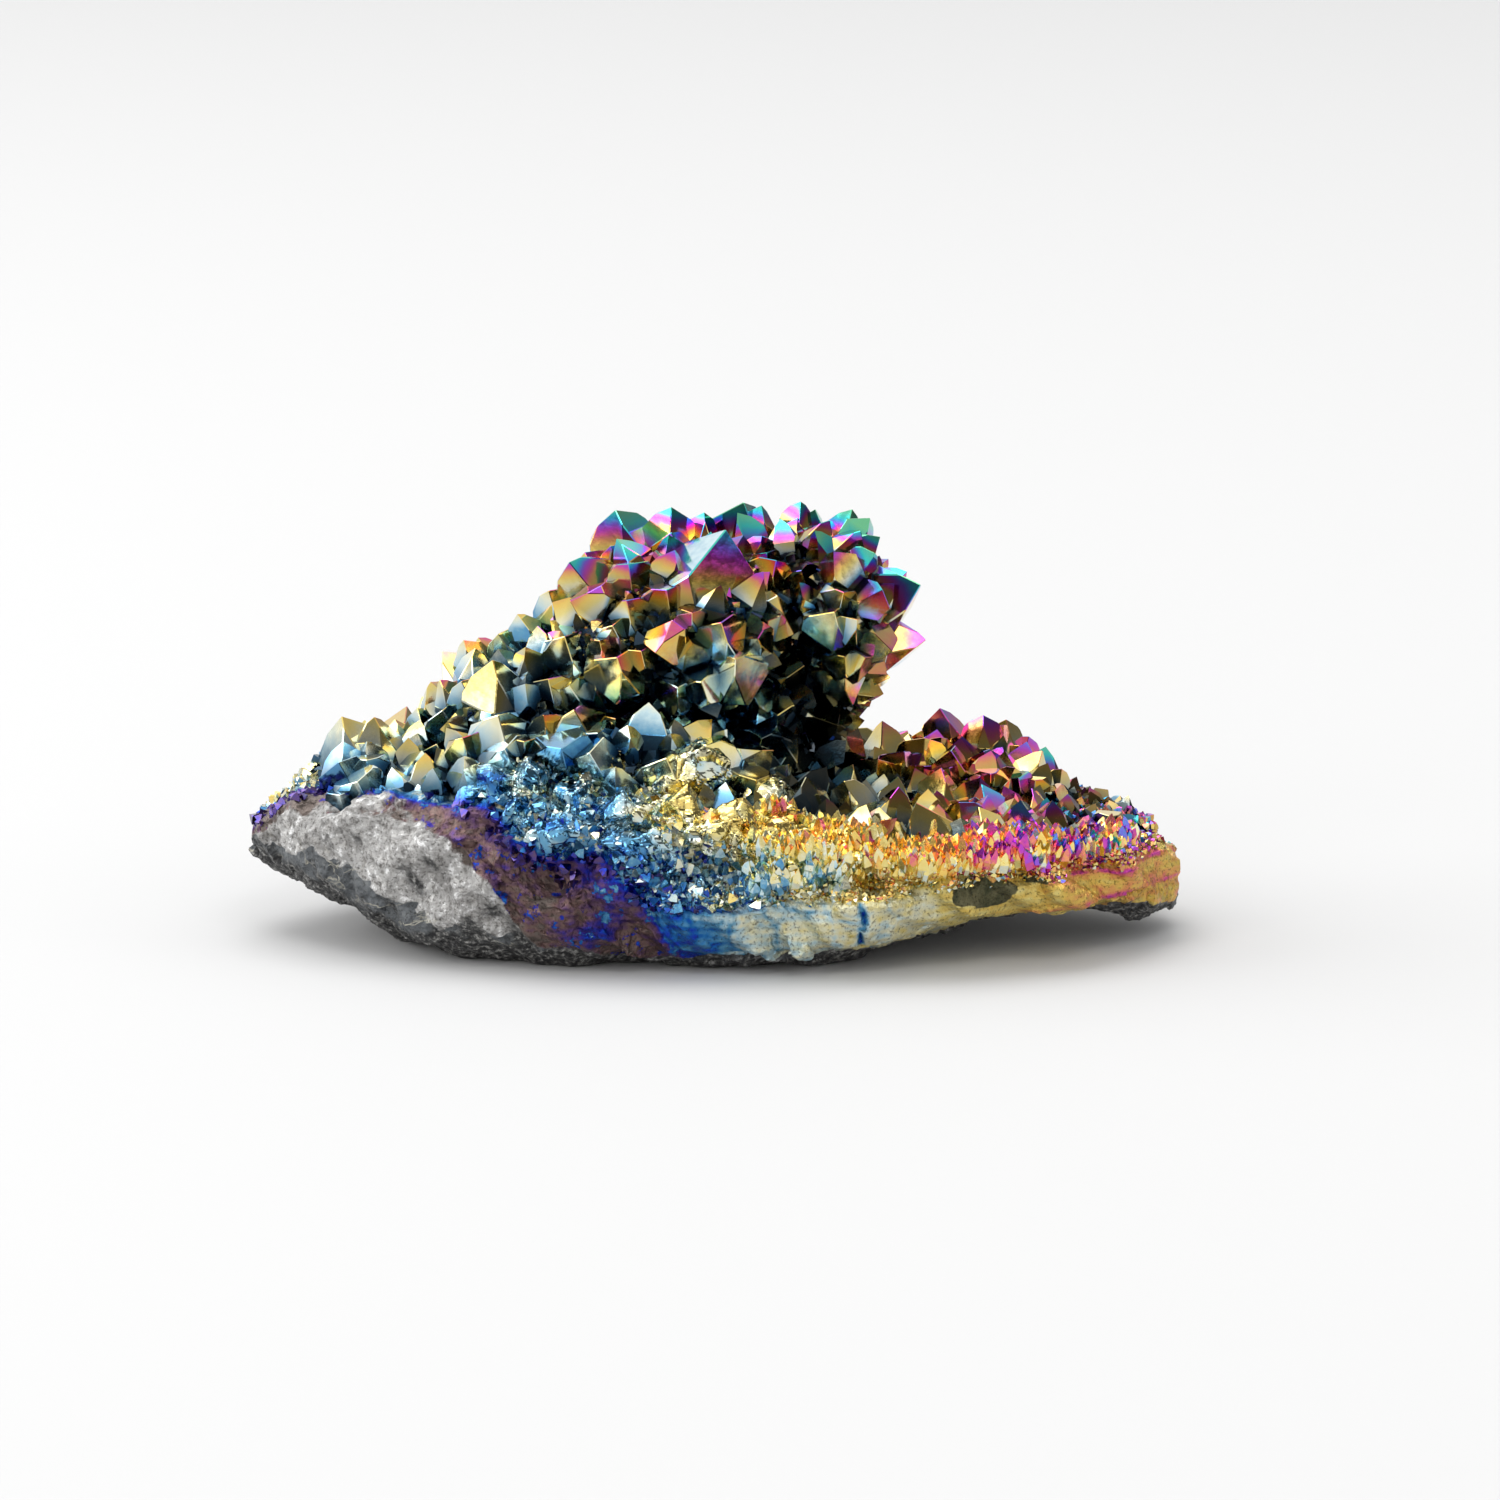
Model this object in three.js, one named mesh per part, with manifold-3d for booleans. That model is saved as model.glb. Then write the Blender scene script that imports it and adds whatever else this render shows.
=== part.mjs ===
// A cluster of quartz points on its slab of host rock, coated with titanium after it grew.
// Millimetres, +Z up, origin under the middle of the slab on the surface it rests on.
// The slab lies along X, its broken front face looks towards -Y, and a lobe of crystals
// stands over its middle and hangs out over the right half.
import * as THREE from "three";
import { ConvexGeometry } from "three/addons/geometries/ConvexGeometry.js";
import { mergeVertices } from "three/addons/utils/BufferGeometryUtils.js";
import Module from "manifold-3d";

const wasm = await Module();
wasm.setup();

// ---------------------------------------------------------------------------
// The host rock: a boat-shaped slab, broken off all round, flat where it rests.
// ---------------------------------------------------------------------------

// Distances along the slab, and its outline and heights at each of them.
const STATION = [-65, -58, -50, -42, -33, -20, 0, 14, 24, 34, 46, 57, 65];
const FRONT = [-4, -14, -21, -26, -30, -33, -34, -34, -33, -31, -27, -18, -6];
const BACK = [4, 13, 21, 28, 33, 36, 38, 38, 36, 33, 27, 17, 6];
const UNDER = [13.5, 10, 6.5, 2.5, 0.4, 0, 0, 0, 3.6, 6, 7.5, 6, 5];
const OVER = [16, 22, 23.5, 24, 24.5, 25, 24.5, 22, 20, 19.5, 18.5, 17, 11.5];
const SLAB_END = 64.5;
const SECTION_POWER = 4; // how square the slab's cross-section is
const HULL_DEPTH = 2.5; // how far the underside bulges below its edge

// Swellings of the crust that the crystals grow from: centre and half-sizes.
const LUMPS = [
  { at: [-3, 0, 42], half: [13, 15, 11.5] }, // lobe, its front half
  { at: [-10, 2, 41.5], half: [11.5, 15, 11] }, // lobe, its left end
  { at: [18, 2, 45], half: [6.5, 11, 10] }, // lobe, its right end
  { at: [8, 9, 43], half: [14, 12, 12] }, // lobe, behind the cleft
  { at: [3, 7, 28], half: [16, 13, 13] }, // neck under the lobe
  { at: [-23, 3, 29], half: [15, 18, 10.5] }, // shoulder
  { at: [-30, 9, 24], half: [11, 14, 9] }, // slope behind the shoulder
  { at: [-44, 3, 19.5], half: [13, 16, 6.5] }, // foot of the shoulder
  { at: [-16, -12, 24], half: [22, 14, 8] }, // slope in front of the shoulder
  { at: [32, 10, 16], half: [18, 16, 7] }, // rise on the right
];
const LUMP_BLEND = 3; // width of the fillet between one swelling and the next
const SLOPE_STEP = 0.2; // over which the crust's slope is taken

function along(values, x) {
  const last = STATION.length - 1;
  if (x <= STATION[0]) return values[0];
  if (x >= STATION[last]) return values[last];
  const i = STATION.findIndex((s) => s > x) - 1;
  const share = (x - STATION[i]) / (STATION[i + 1] - STATION[i]);
  return values[i] + (values[i + 1] - values[i]) * share;
}

// Shallow bumps of the broken rock, in millimetres.
function ripple(x, y, z) {
  const wide = Math.sin(0.31 * x + 1.7) * Math.sin(0.37 * y + 0.45 * z + 0.6);
  const narrow = Math.sin(0.73 * z + 0.52 * x) * Math.sin(0.61 * y - 0.48 * x);
  return 0.5 * wide + 0.35 * narrow;
}

// Roughly the distance from the slab's surface, negative inside it.
function slab(x, y, z) {
  const front = along(FRONT, x);
  const back = along(BACK, x);
  const halfY = (back - front) / 2;
  const across = (y - (back + front) / 2) / halfY;
  const under = along(UNDER, x) - HULL_DEPTH * Math.max(0, 1 - across ** 2);
  const over = along(OVER, x);
  const halfZ = (over - under) / 2;
  const up = (z - (over + under) / 2) / halfZ;
  const n = SECTION_POWER;
  const ring = (Math.abs(across) ** n + Math.abs(up) ** n) ** (1 / n);
  const inSection = (ring - 1) * Math.min(halfY, halfZ);
  return Math.max(inSection, Math.abs(x) - SLAB_END);
}

// The same for one of the swellings, which are ellipsoids.
function swelling({ at, half }, x, y, z) {
  const q = [(x - at[0]) / half[0], (y - at[1]) / half[1], (z - at[2]) / half[2]];
  const reach = Math.hypot(q[0], q[1], q[2]);
  const slope = Math.hypot(q[0] / half[0], q[1] / half[1], q[2] / half[2]);
  return slope < 1e-9 ? -Math.min(...half) : (reach * (reach - 1)) / slope;
}

// The whole crust: the slab and its swellings, filleted into one another.
function crust(x, y, z) {
  let d = slab(x, y, z);
  for (const one of LUMPS) {
    const e = swelling(one, x, y, z);
    const shared = Math.max(LUMP_BLEND - Math.abs(d - e), 0);
    d = Math.min(d, e) - shared ** 2 / (4 * LUMP_BLEND);
  }
  return d + ripple(x, y, z);
}

// The direction square to the crust near a place.
function outward({ x, y, z }) {
  const s = SLOPE_STEP;
  return new THREE.Vector3(
    crust(x + s, y, z) - crust(x - s, y, z),
    crust(x, y + s, z) - crust(x, y - s, z),
    crust(x, y, z + s) - crust(x, y, z - s),
  ).normalize();
}

// ---------------------------------------------------------------------------
// Solids of the host rock and the crust.
// ---------------------------------------------------------------------------

const SAME_PLACE = 1e-4; // corners nearer than this are one corner
const HALVINGS = 30;
const SLAB_DETAIL = 6;
const SWELLING_DETAIL = 1;
const SLAB_HEART = new THREE.Vector3(0, 0, 11); // every place on the slab is in sight from here
const SLAB_REACH = new THREE.Vector3(80, 55, 30); // and nearer than this

function welded(geometry) {
  geometry.deleteAttribute("normal");
  geometry.deleteAttribute("uv");
  return mergeVertices(geometry, SAME_PLACE);
}

function solid(geometry) {
  return new wasm.Manifold(
    new wasm.Mesh({
      numProp: 3,
      vertProperties: new Float32Array(geometry.attributes.position.array),
      triVerts: new Uint32Array(geometry.index.array),
    }),
  );
}

function brokenRock(x, y, z) {
  return slab(x, y, z) + ripple(x, y, z);
}

// A ball of triangles pushed out to the rock's surface, then ground flat where it rests.
function slabSolid() {
  const ball = welded(new THREE.IcosahedronGeometry(1, SLAB_DETAIL));
  const position = ball.attributes.position;
  const ray = new THREE.Vector3();
  const place = new THREE.Vector3();
  for (let i = 0; i < position.count; i++) {
    ray.fromBufferAttribute(position, i).multiply(SLAB_REACH);
    let inner = 0;
    let outer = 1;
    for (let step = 0; step < HALVINGS; step++) {
      const middle = (inner + outer) / 2;
      place.copy(SLAB_HEART).addScaledVector(ray, middle);
      if (brokenRock(place.x, place.y, place.z) < 0) inner = middle;
      else outer = middle;
    }
    place.copy(SLAB_HEART).addScaledVector(ray, inner);
    position.setXYZ(i, place.x, place.y, Math.max(place.z, 0));
  }
  return solid(ball);
}

function swellingSolid({ at, half }) {
  const ball = welded(new THREE.IcosahedronGeometry(1, SWELLING_DETAIL));
  ball.scale(...half).translate(...at);
  return solid(ball);
}

// ---------------------------------------------------------------------------
// Quartz points. Only their six end faces stand out of the crust, each a flat plane.
// ---------------------------------------------------------------------------

// A chain of numbers between 0 and 1 that comes out the same every time.
const CHAIN_FACTOR = 16807;
const CHAIN_LENGTH = 2147483647;
let chain = 20117;
function chance() {
  chain = (chain * CHAIN_FACTOR) % CHAIN_LENGTH;
  return chain / CHAIN_LENGTH;
}

const END_FACE_TILT = THREE.MathUtils.degToRad(51.8); // quartz: end face normal to long axis
const HABITS = 24; // differently grown points that the cluster repeats
const RISE = 0.56; // how far a tip stands out of the crust, in widths
const LENGTH = 1.5; // of a whole point down to its buried foot, in half-widths
const MAIN_SET_BACK = [0, 0.1]; // of an end face behind the tip, in half-widths
const LESSER_SET_BACK = [0.3, 0.9];
const UPRIGHT = new THREE.Vector3(0, 0, 1);

function between([low, high]) {
  return low + (high - low) * chance();
}

function endFace(turn, setBack) {
  const across = Math.sin(END_FACE_TILT);
  const upward = Math.cos(END_FACE_TILT);
  const normal = new THREE.Vector3(Math.cos(turn) * across, Math.sin(turn) * across, upward);
  return new THREE.Plane(normal, -setBack * upward);
}

// The corners of a point of half-width 1 whose tip is at the origin. Every other end face
// is a main one, and the lesser ones between them only blunt its edges lower down.
function habit() {
  const planes = [];
  for (let i = 0; i < 6; i++) {
    const setBack = between(i % 2 ? LESSER_SET_BACK : MAIN_SET_BACK);
    planes.push(endFace((i * Math.PI) / 3, setBack));
  }
  planes.push(new THREE.Plane(new THREE.Vector3(0, 0, -1), -LENGTH));
  return corners(planes);
}

// The place where three planes meet, or null where they don't.
function meeting(a, b, c) {
  const bc = new THREE.Vector3().crossVectors(b.normal, c.normal);
  const ca = new THREE.Vector3().crossVectors(c.normal, a.normal);
  const ab = new THREE.Vector3().crossVectors(a.normal, b.normal);
  const spread = a.normal.dot(bc);
  if (Math.abs(spread) < 1e-6) return null;
  bc.multiplyScalar(-a.constant).addScaledVector(ca, -b.constant);
  return bc.addScaledVector(ab, -c.constant).divideScalar(spread);
}

// Every place where three of the planes meet and no other plane cuts it off.
function corners(planes) {
  const found = [];
  planes.forEach((a, i) => {
    planes.slice(i + 1).forEach((b, j) => {
      planes.slice(i + j + 2).forEach((c) => {
        const p = meeting(a, b, c);
        if (p && planes.every((one) => one.distanceToPoint(p) < 1e-6)) found.push(p);
      });
    });
  });
  return found;
}

const SHAPES = Array.from({ length: HABITS }, habit);

// A point with its tip at `tip`, its long axis along `axis`, turned by `spin` degrees on it.
function quartzPoint({ tip, axis, width, spin }, shape) {
  const half = width / 2;
  const turned = new THREE.Quaternion().setFromUnitVectors(UPRIGHT, axis);
  const spun = new THREE.Quaternion().setFromAxisAngle(UPRIGHT, THREE.MathUtils.degToRad(spin));
  const size = new THREE.Vector3(half, half, half);
  const place = new THREE.Matrix4().compose(tip, turned.multiply(spun), size);
  const placed = SHAPES[shape % HABITS].map((c) => c.clone().applyMatrix4(place));
  return solid(welded(new ConvexGeometry(placed)));
}

// ---------------------------------------------------------------------------
// The large points, set one by one.
// ---------------------------------------------------------------------------

// Seen from the front and from this far above level, `across` and `up` give each tip's
// place in millimetres, counted from the middle of the slab's front foot.
const VIEW_TILT = THREE.MathUtils.degToRad(11);
const FRONT_FOOT = new THREE.Vector3(0, -30, 0);
const VIEW_UP = new THREE.Vector3(0, Math.sin(VIEW_TILT), Math.cos(VIEW_TILT));
const VIEW_IN = new THREE.Vector3(0, Math.cos(VIEW_TILT), -Math.sin(VIEW_TILT));

// across, up, width, lean, toward, spin
const LARGE_POINTS = [
  // crown of the lobe
  [1.3, 61.5, 12, 5, 40, 10],
  [-13.7, 64, 6, -12, 25, 20],
  [-6, 64.4, 6.5, 5, 20, 0],
  [4, 65.2, 7.5, 8, 28, 35],
  [12, 65.4, 3.6, 5, 20, 0],
  [16, 62.6, 4.6, 12, 30, 25],
  [20.3, 61, 4.6, 30, 35, 50],
  [19.2, 64.2, 3.6, 18, 10, 0],
  [21.5, 62.9, 4, 32, 18, 20],
  [23, 60.2, 3.6, 48, 20, 30],
  // right end of the lobe
  [28.5, 53.7, 7.5, 62, 35, 20],
  [29.3, 46, 5.5, 80, 20, 10],
  // front of the lobe
  [-20, 56.6, 6.5, -38, 35, 15],
  [-11.8, 56.3, 5, -10, 50, 0],
  [-6, 60.8, 5.5, -5, 35, 30],
  [-6.5, 52.7, 4.6, 0, 60, 10],
  [8.6, 56.9, 5.5, 18, 48, 0],
  [16.5, 49.6, 5, 15, 55, 30],
  [-12, 51.2, 5, -15, 50, 0],
  [1, 48.2, 5.5, 5, 55, 25],
  [18, 41, 5.5, 20, 75, 10],
  // shoulder, left of the lobe
  [-23, 52.8, 6, -25, 40, 0],
  [-30, 46.8, 5, -30, 40, 20],
  [-25.4, 48, 6, -25, 45, 40],
  [-20.7, 46.3, 6, -15, 50, 10],
  [-30.6, 43, 6.5, -8, 20, 25],
  [-35, 40.2, 4.6, -25, 40, 10],
  [-37.7, 36.2, 4.6, -20, 50, 30],
  [-41.6, 36.6, 5, -20, 25, 0],
  [-13.4, 43.3, 6.5, -10, 60, 15],
  [-20, 39.6, 5, -15, 55, 30],
  [-22.8, 40.5, 5, -20, 48, 0],
  // lower left, down to the broken face
  [-29.5, 35.4, 7, -5, 45, 15],
  [-19.2, 36.2, 8, -5, 45, 35],
  [-23.5, 35.4, 4.6, -15, 40, 0],
  [-16, 33, 5, 5, 60, 20],
  [-28.6, 30.8, 5, -5, 60, 30],
  [-34.6, 32.3, 4.6, -15, 50, 10],
  [-52, 35.4, 7.5, -15, 10, 0],
  [-47.3, 35.2, 7, -5, 20, 30],
  [-51.8, 29, 5, -20, 40, 20],
  [-48, 29.3, 4.6, -10, 55, 0],
  [-49, 26.3, 5, -10, 60, 25],
  [-20.8, 30.8, 6, -10, 68, 10],
  [-17, 30.3, 6, -10, 60, 30],
  [-13.4, 28.4, 4.6, 0, 35, 0],
  // hollow below the lobe
  [3, 43.2, 7, 5, 68, 0],
  [-1.7, 40, 4.6, 0, 75, 20],
  [-5, 39.2, 4.6, 0, 75, 0],
  [5.2, 38.6, 5, 10, 75, 30],
  [6.6, 32.2, 4.6, 40, 75, 0],
  [-1, 33.6, 4.6, 0, 75, 30],
  [-1, 31.6, 8, 0, 55, 10],
  [-6.5, 29.8, 7, 0, 50, 30],
  [5.8, 26.5, 6, 30, 60, 10],
  // right half of the slab
  [17.9, 26.3, 6.5, -5, 35, 30],
  [22.8, 29.4, 5, 10, 40, 0],
  [26.5, 30.5, 5, 15, 40, 20],
  [29.3, 32.3, 5, 5, 35, 0],
  [20, 33.7, 5, -5, 40, 10],
  [31.7, 36.6, 4.6, -10, 15, 30],
  [41, 35, 4.6, 5, 20, 20],
  [37.6, 30.5, 4.6, 0, 40, 30],
  [43, 31.6, 5, 20, 40, 10],
  [33.7, 23.4, 4.6, -10, 40, 0],
];

// The direction of a point that leans this far to the right and this far to the front.
function leaning(lean, toward) {
  const l = THREE.MathUtils.degToRad(lean);
  const t = THREE.MathUtils.degToRad(toward);
  return new THREE.Vector3(Math.cos(t) * Math.sin(l), -Math.sin(t), Math.cos(t) * Math.cos(l));
}

const OVERLAP = 1.1; // of each point's width over what its neighbours leave in sight
const NEAREST = -40; // where the search for a point's seat starts, seen from the front foot
const FARTHEST = 100;
const STRIDE = 0.5;

// The tip of a point whose foot meets the crust: it goes in along the view until it does,
// or to where it comes nearest.
function tipInView(across, up, rise, axis) {
  const start = FRONT_FOOT.clone().addScaledVector(VIEW_UP, up).addScaledVector(axis, -rise);
  start.x += across;
  const foot = new THREE.Vector3();
  const seat = new THREE.Vector3();
  let nearest = Infinity;
  for (let deep = NEAREST; deep < FARTHEST && nearest > 0; deep += STRIDE) {
    foot.copy(start).addScaledVector(VIEW_IN, deep);
    const clear = crust(foot.x, foot.y, foot.z);
    if (clear < nearest) seat.copy(foot);
    nearest = Math.min(nearest, clear);
  }
  return seat.addScaledVector(axis, rise);
}

function largePoints() {
  return LARGE_POINTS.map(([across, up, width, lean, toward, spin]) => {
    const axis = leaning(lean, toward);
    const grown = width * OVERLAP;
    const tip = tipInView(across, up, RISE * grown, axis);
    return { tip, axis, width: grown, spin };
  });
}

// ---------------------------------------------------------------------------
// The other points, scattered over the crust between the large ones.
// ---------------------------------------------------------------------------

const TRIES = 4000;
const SPACING = 1.02; // between neighbours' feet, in mean widths
const WIDTHS_IN_FRONT = [6, 7.5];
const WIDTHS_BEHIND = [7, 9];
const BEHIND = 8; // further back than this, the points are larger
const SPREAD = 0.35; // how far a point strays from square to the crust
const RIM = 3; // how far below the slab's upper edge points still grow
const BARE_LEFT = -50; // both ends of the slab carry only fine grains
const BARE_RIGHT = 45;
const FRONT_MARGIN = 7; // points were knocked off this near the front edge
const LEFT_FRONT_MARGIN = 13;
const LEFT_FRONT_TO = 16;
const BACK_MARGIN = 2;
const SEARCHED = { x: [-66, 66], y: [-38, 42], z: [10, 56] };
const STRAYS = [-1, 1];
const FULL_TURN = [0, 360];
const SETTLING_STEPS = 3; // that bring a place near the crust on to it
const ON_CRUST = 0.3;

function footOf({ tip, axis, width }) {
  return tip.clone().addScaledVector(axis, -RISE * width);
}

function bearsPoints({ x, y, z }) {
  if (x < BARE_LEFT || x > BARE_RIGHT || z < along(OVER, x) - RIM) return false;
  const margin = x < LEFT_FRONT_TO ? LEFT_FRONT_MARGIN : FRONT_MARGIN;
  return y > along(FRONT, x) + margin && y < along(BACK, x) - BACK_MARGIN;
}

function scatteredPoints(standing) {
  const points = [...standing];
  const feet = points.map(footOf);
  for (let i = 0; i < TRIES; i++) {
    const { x, y, z } = SEARCHED;
    const foot = new THREE.Vector3(between(x), between(y), between(z));
    const stray = new THREE.Vector3(between(STRAYS), between(STRAYS), between(STRAYS));
    const size = chance();
    const spin = between(FULL_TURN);
    for (let step = 0; step < SETTLING_STEPS; step++) {
      foot.addScaledVector(outward(foot), -crust(foot.x, foot.y, foot.z));
    }
    if (Math.abs(crust(foot.x, foot.y, foot.z)) > ON_CRUST) continue;
    if (!bearsPoints(foot)) continue;
    const [low, high] = foot.y > BEHIND ? WIDTHS_BEHIND : WIDTHS_IN_FRONT;
    const width = low + (high - low) * size;
    const crowded = feet.some(
      (other, k) => other.distanceTo(foot) < (SPACING * (width + points[k].width)) / 2,
    );
    if (crowded) continue;
    const axis = outward(foot).addScaledVector(stray, SPREAD).normalize();
    const tip = foot.clone().addScaledVector(axis, RISE * width);
    points.push({ tip, axis, width, spin });
    feet.push(foot);
  }
  return points;
}

// ---------------------------------------------------------------------------
// The whole cluster.
// ---------------------------------------------------------------------------

function geometryOf(manifold) {
  const mesh = manifold.getMesh();
  const places = new THREE.BufferAttribute(new Float32Array(mesh.vertProperties), 3);
  const geometry = new THREE.BufferGeometry().setAttribute("position", places);
  geometry.setIndex(new THREE.BufferAttribute(new Uint32Array(mesh.triVerts), 1));
  geometry.computeVertexNormals();
  return geometry;
}

// Rock, crust and points as one solid. Its outer skin has the largest volume of its shells:
// pockets closed in between the roots of the points are filled with quartz.
function cluster() {
  const points = scatteredPoints(largePoints()).map(quartzPoint);
  const whole = wasm.Manifold.union([slabSolid(), ...LUMPS.map(swellingSolid), ...points]);
  return whole.decompose().reduce((a, b) => (a.volume() > b.volume() ? a : b));
}

// The slab reaches a little further back than forward, so this moves its middle to Y = 0.
const MIDDLE_Y = 1.9;

const coatedStone = new THREE.MeshStandardMaterial({
  color: 0x8a7a52,
  roughness: 0.25,
  metalness: 0.8,
});

const geometry = geometryOf(cluster());
geometry.translate(0, -MIDDLE_Y, 0);
const mesh = new THREE.Mesh(geometry, coatedStone);
mesh.name = "amethyst_cluster";

const part = new THREE.Group();
part.add(mesh);

export default part;
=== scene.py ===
import itertools
import math

import bmesh
import bpy
import numpy as np
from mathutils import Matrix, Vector, noise


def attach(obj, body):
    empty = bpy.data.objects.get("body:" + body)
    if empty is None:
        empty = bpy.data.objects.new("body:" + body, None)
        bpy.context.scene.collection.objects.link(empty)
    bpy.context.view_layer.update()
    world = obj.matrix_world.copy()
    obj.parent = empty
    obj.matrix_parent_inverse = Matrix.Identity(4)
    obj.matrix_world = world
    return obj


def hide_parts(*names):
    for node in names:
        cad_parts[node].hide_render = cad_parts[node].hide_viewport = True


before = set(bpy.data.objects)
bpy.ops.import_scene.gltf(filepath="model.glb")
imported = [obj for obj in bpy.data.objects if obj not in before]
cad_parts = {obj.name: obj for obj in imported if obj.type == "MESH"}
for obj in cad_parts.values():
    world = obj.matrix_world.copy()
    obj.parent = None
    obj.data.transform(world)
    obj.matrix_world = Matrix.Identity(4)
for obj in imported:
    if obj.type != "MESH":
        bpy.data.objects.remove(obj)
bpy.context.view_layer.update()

# ---------------------------------------------------------------------------
# Host rock. A boat-shaped slab of grey volcanic rock with a rind of massive quartz and a
# band of agate, broken off all round, and the quartz crust that swells up from it. Its
# upper part took on the titanium film, and its underside and left end stayed bare.
# ---------------------------------------------------------------------------

MM = 0.001
CLUSTER = "amethyst_cluster"
MIDDLE_Y = 1.9  # the slab is measured from this far in front of its box's middle

# Distances along the slab, and its outline and heights at each of them, in millimetres.
STATION = [-65, -58, -50, -42, -33, -20, 0, 14, 24, 34, 46, 57, 65]
FRONT = [-4, -14, -21, -26, -30, -33, -34, -34, -33, -31, -27, -18, -6]
BACK = [4, 13, 21, 28, 33, 36, 38, 38, 36, 33, 27, 17, 6]
UNDER = [13.5, 10, 6.5, 2.5, 0.4, 0, 0, 0, 3.6, 6, 7.5, 6, 5]
OVER = [16, 22, 23.5, 24, 24.5, 25, 24.5, 22, 20, 19.5, 18.5, 17, 11.5]
SLAB_END = 64.5  # where it is broken off square on both sides
SECTION_POWER = 4  # how square its cross-section is
HULL_DEPTH = 2.5  # how far the middle of its underside bulges down

# Swellings of the crust: middle and half-sizes.
LUMPS = [
    ((-3, 0, 42), (13, 15, 11.5)),
    ((-10, 2, 41.5), (11.5, 15, 11)),
    ((18, 2, 45), (6.5, 11, 10)),
    ((8, 9, 43), (14, 12, 12)),
    ((3, 7, 28), (16, 13, 13)),
    ((-23, 3, 29), (15, 18, 10.5)),
    ((-30, 9, 24), (11, 14, 9)),
    ((-44, 3, 19.5), (13, 16, 6.5)),
    ((-16, -12, 24), (22, 14, 8)),
    ((32, 10, 16), (18, 16, 7)),
]
LUMP_BLEND = 3  # over this distance they run into one another
SLOPE_STEP = 0.2  # between places that are compared to find which way the crust faces
TINY = 1e-12  # added where a length could be nothing, so that it can be divided by


def along(values, x):
    return np.interp(x, STATION, values)


def ripple(x, y, z):
    """The crust's slow unevenness, in millimetres."""
    wide = np.sin(0.31 * x + 1.7) * np.sin(0.37 * y + 0.45 * z + 0.6)
    narrow = np.sin(0.73 * z + 0.52 * x) * np.sin(0.61 * y - 0.48 * x)
    return 0.5 * wide + 0.35 * narrow


def slab(x, y, z):
    """Roughly the distance from the slab's surface in millimetres, negative inside it."""
    front, back = along(FRONT, x), along(BACK, x)
    half_y = (back - front) / 2
    across = (y - (back + front) / 2) / half_y
    under = along(UNDER, x) - HULL_DEPTH * np.maximum(0, 1 - across**2)
    over = along(OVER, x)
    half_z = (over - under) / 2
    up = (z - (over + under) / 2) / half_z
    ring = (np.abs(across) ** SECTION_POWER + np.abs(up) ** SECTION_POWER) ** (1 / SECTION_POWER)
    return np.maximum((ring - 1) * np.minimum(half_y, half_z), np.abs(x) - SLAB_END)


def crust(x, y, z):
    """Roughly the distance from the crust's surface in millimetres, negative inside it."""
    away = slab(x, y, z)
    for middle, half in LUMPS:
        scaled = [(c - m) / h for c, m, h in zip((x, y, z), middle, half)]
        reach = np.sqrt(sum(s**2 for s in scaled))
        slope = np.sqrt(sum((s / h) ** 2 for s, h in zip(scaled, half))) + TINY
        from_lump = reach * (reach - 1) / slope
        shared = np.maximum(LUMP_BLEND - np.abs(away - from_lump), 0)
        away = np.minimum(away, from_lump) - shared**2 / (4 * LUMP_BLEND)
    return away + ripple(x, y, z)


def outward(places):
    """The directions square to the crust at an array of places."""
    places = np.asarray(places, float)
    steps = SLOPE_STEP * np.eye(3)
    slopes = [crust(*(places + step).T) - crust(*(places - step).T) for step in steps]
    slope = np.stack(slopes, axis=1)
    return slope / (np.linalg.norm(slope, axis=1, keepdims=True) + TINY)


def smooth(low, high, value):
    """0 up to `low`, 1 from `high` on, and an even rise between them."""
    t = np.clip((value - low) / (high - low), 0, 1)
    return t * t * (3 - 2 * t)


# Thickness of the titanium film, from 0, none, to 1, the thickest. It thickens to the right
# along the broken front face, past a sharp slanting edge, and upwards over the points.
EDGE_FROM = -5.0  # where that edge meets the foot of the face
EDGE_FOOT_Z = 3.5
EDGE_SLOPE = 0.7
EDGE_HEIGHT = 15  # from there on up it is upright

# By distance to the right of that edge, on the foot of the face.
FILM_PAST_EDGE = [-40, -24, -12, -0.4, 0.0, 2, 5, 8, 11, 18, 28, 38, 48, 58, 66]
FILM_LOW = [0.0, 0.03, 0.07, 0.14, 0.24, 0.26, 0.28, 0.31, 0.39, 0.41, 0.43, 0.46, 0.51, 0.54, 0.57]

# Above the foot, among broken crystals, from left to right.
FILM_ABOVE_X = [-65, -50, -36, -28, -16, -9, -3, 4, 10, 18, 26, 34, 44, 54, 62, 66]
FILM_ABOVE = [0.15, 0.2, 0.28, 0.32, 0.335, 0.345, 0.41, 0.46]
FILM_ABOVE += [0.49, 0.51, 0.53, 0.57, 0.62, 0.66, 0.66, 0.64]
FILM_BY_HEIGHT = 0.018  # more for each millimetre up over the middle of the face

# Among the points: by height, and how much more of it there is from left to right.
FILM_Z = [18, 24, 30, 36, 44, 50, 58]
FILM_HIGH = [0.44, 0.45, 0.46, 0.485, 0.54, 0.68, 0.93]
FILM_MORE_X = [-60, -45, -30, -10, 5, 14, 22, 32, 45, 60]
FILM_MORE = [-0.01, 0.01, 0.03, 0.02, -0.01, 0.01, 0.06, 0.19, 0.24, 0.26]

# Up to here the face is massive, and above it broken crystals.
FOOT_X = [-60, -40, -30, -26, -20, -16, -13, -9, 0, 10, 20, 35, 50, 65]
FOOT_TOP = [24, 22.5, 21, 16.5, 15, 17, 15, 10.6, 9.6, 10.4, 11, 12.2, 12.6, 13.4]

# The points' field begins and is full at these distances behind the face and above the
# slab's top.
FIELD_BEHIND = (4, 12)
FIELD_ABOVE = (-5, -1)


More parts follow.
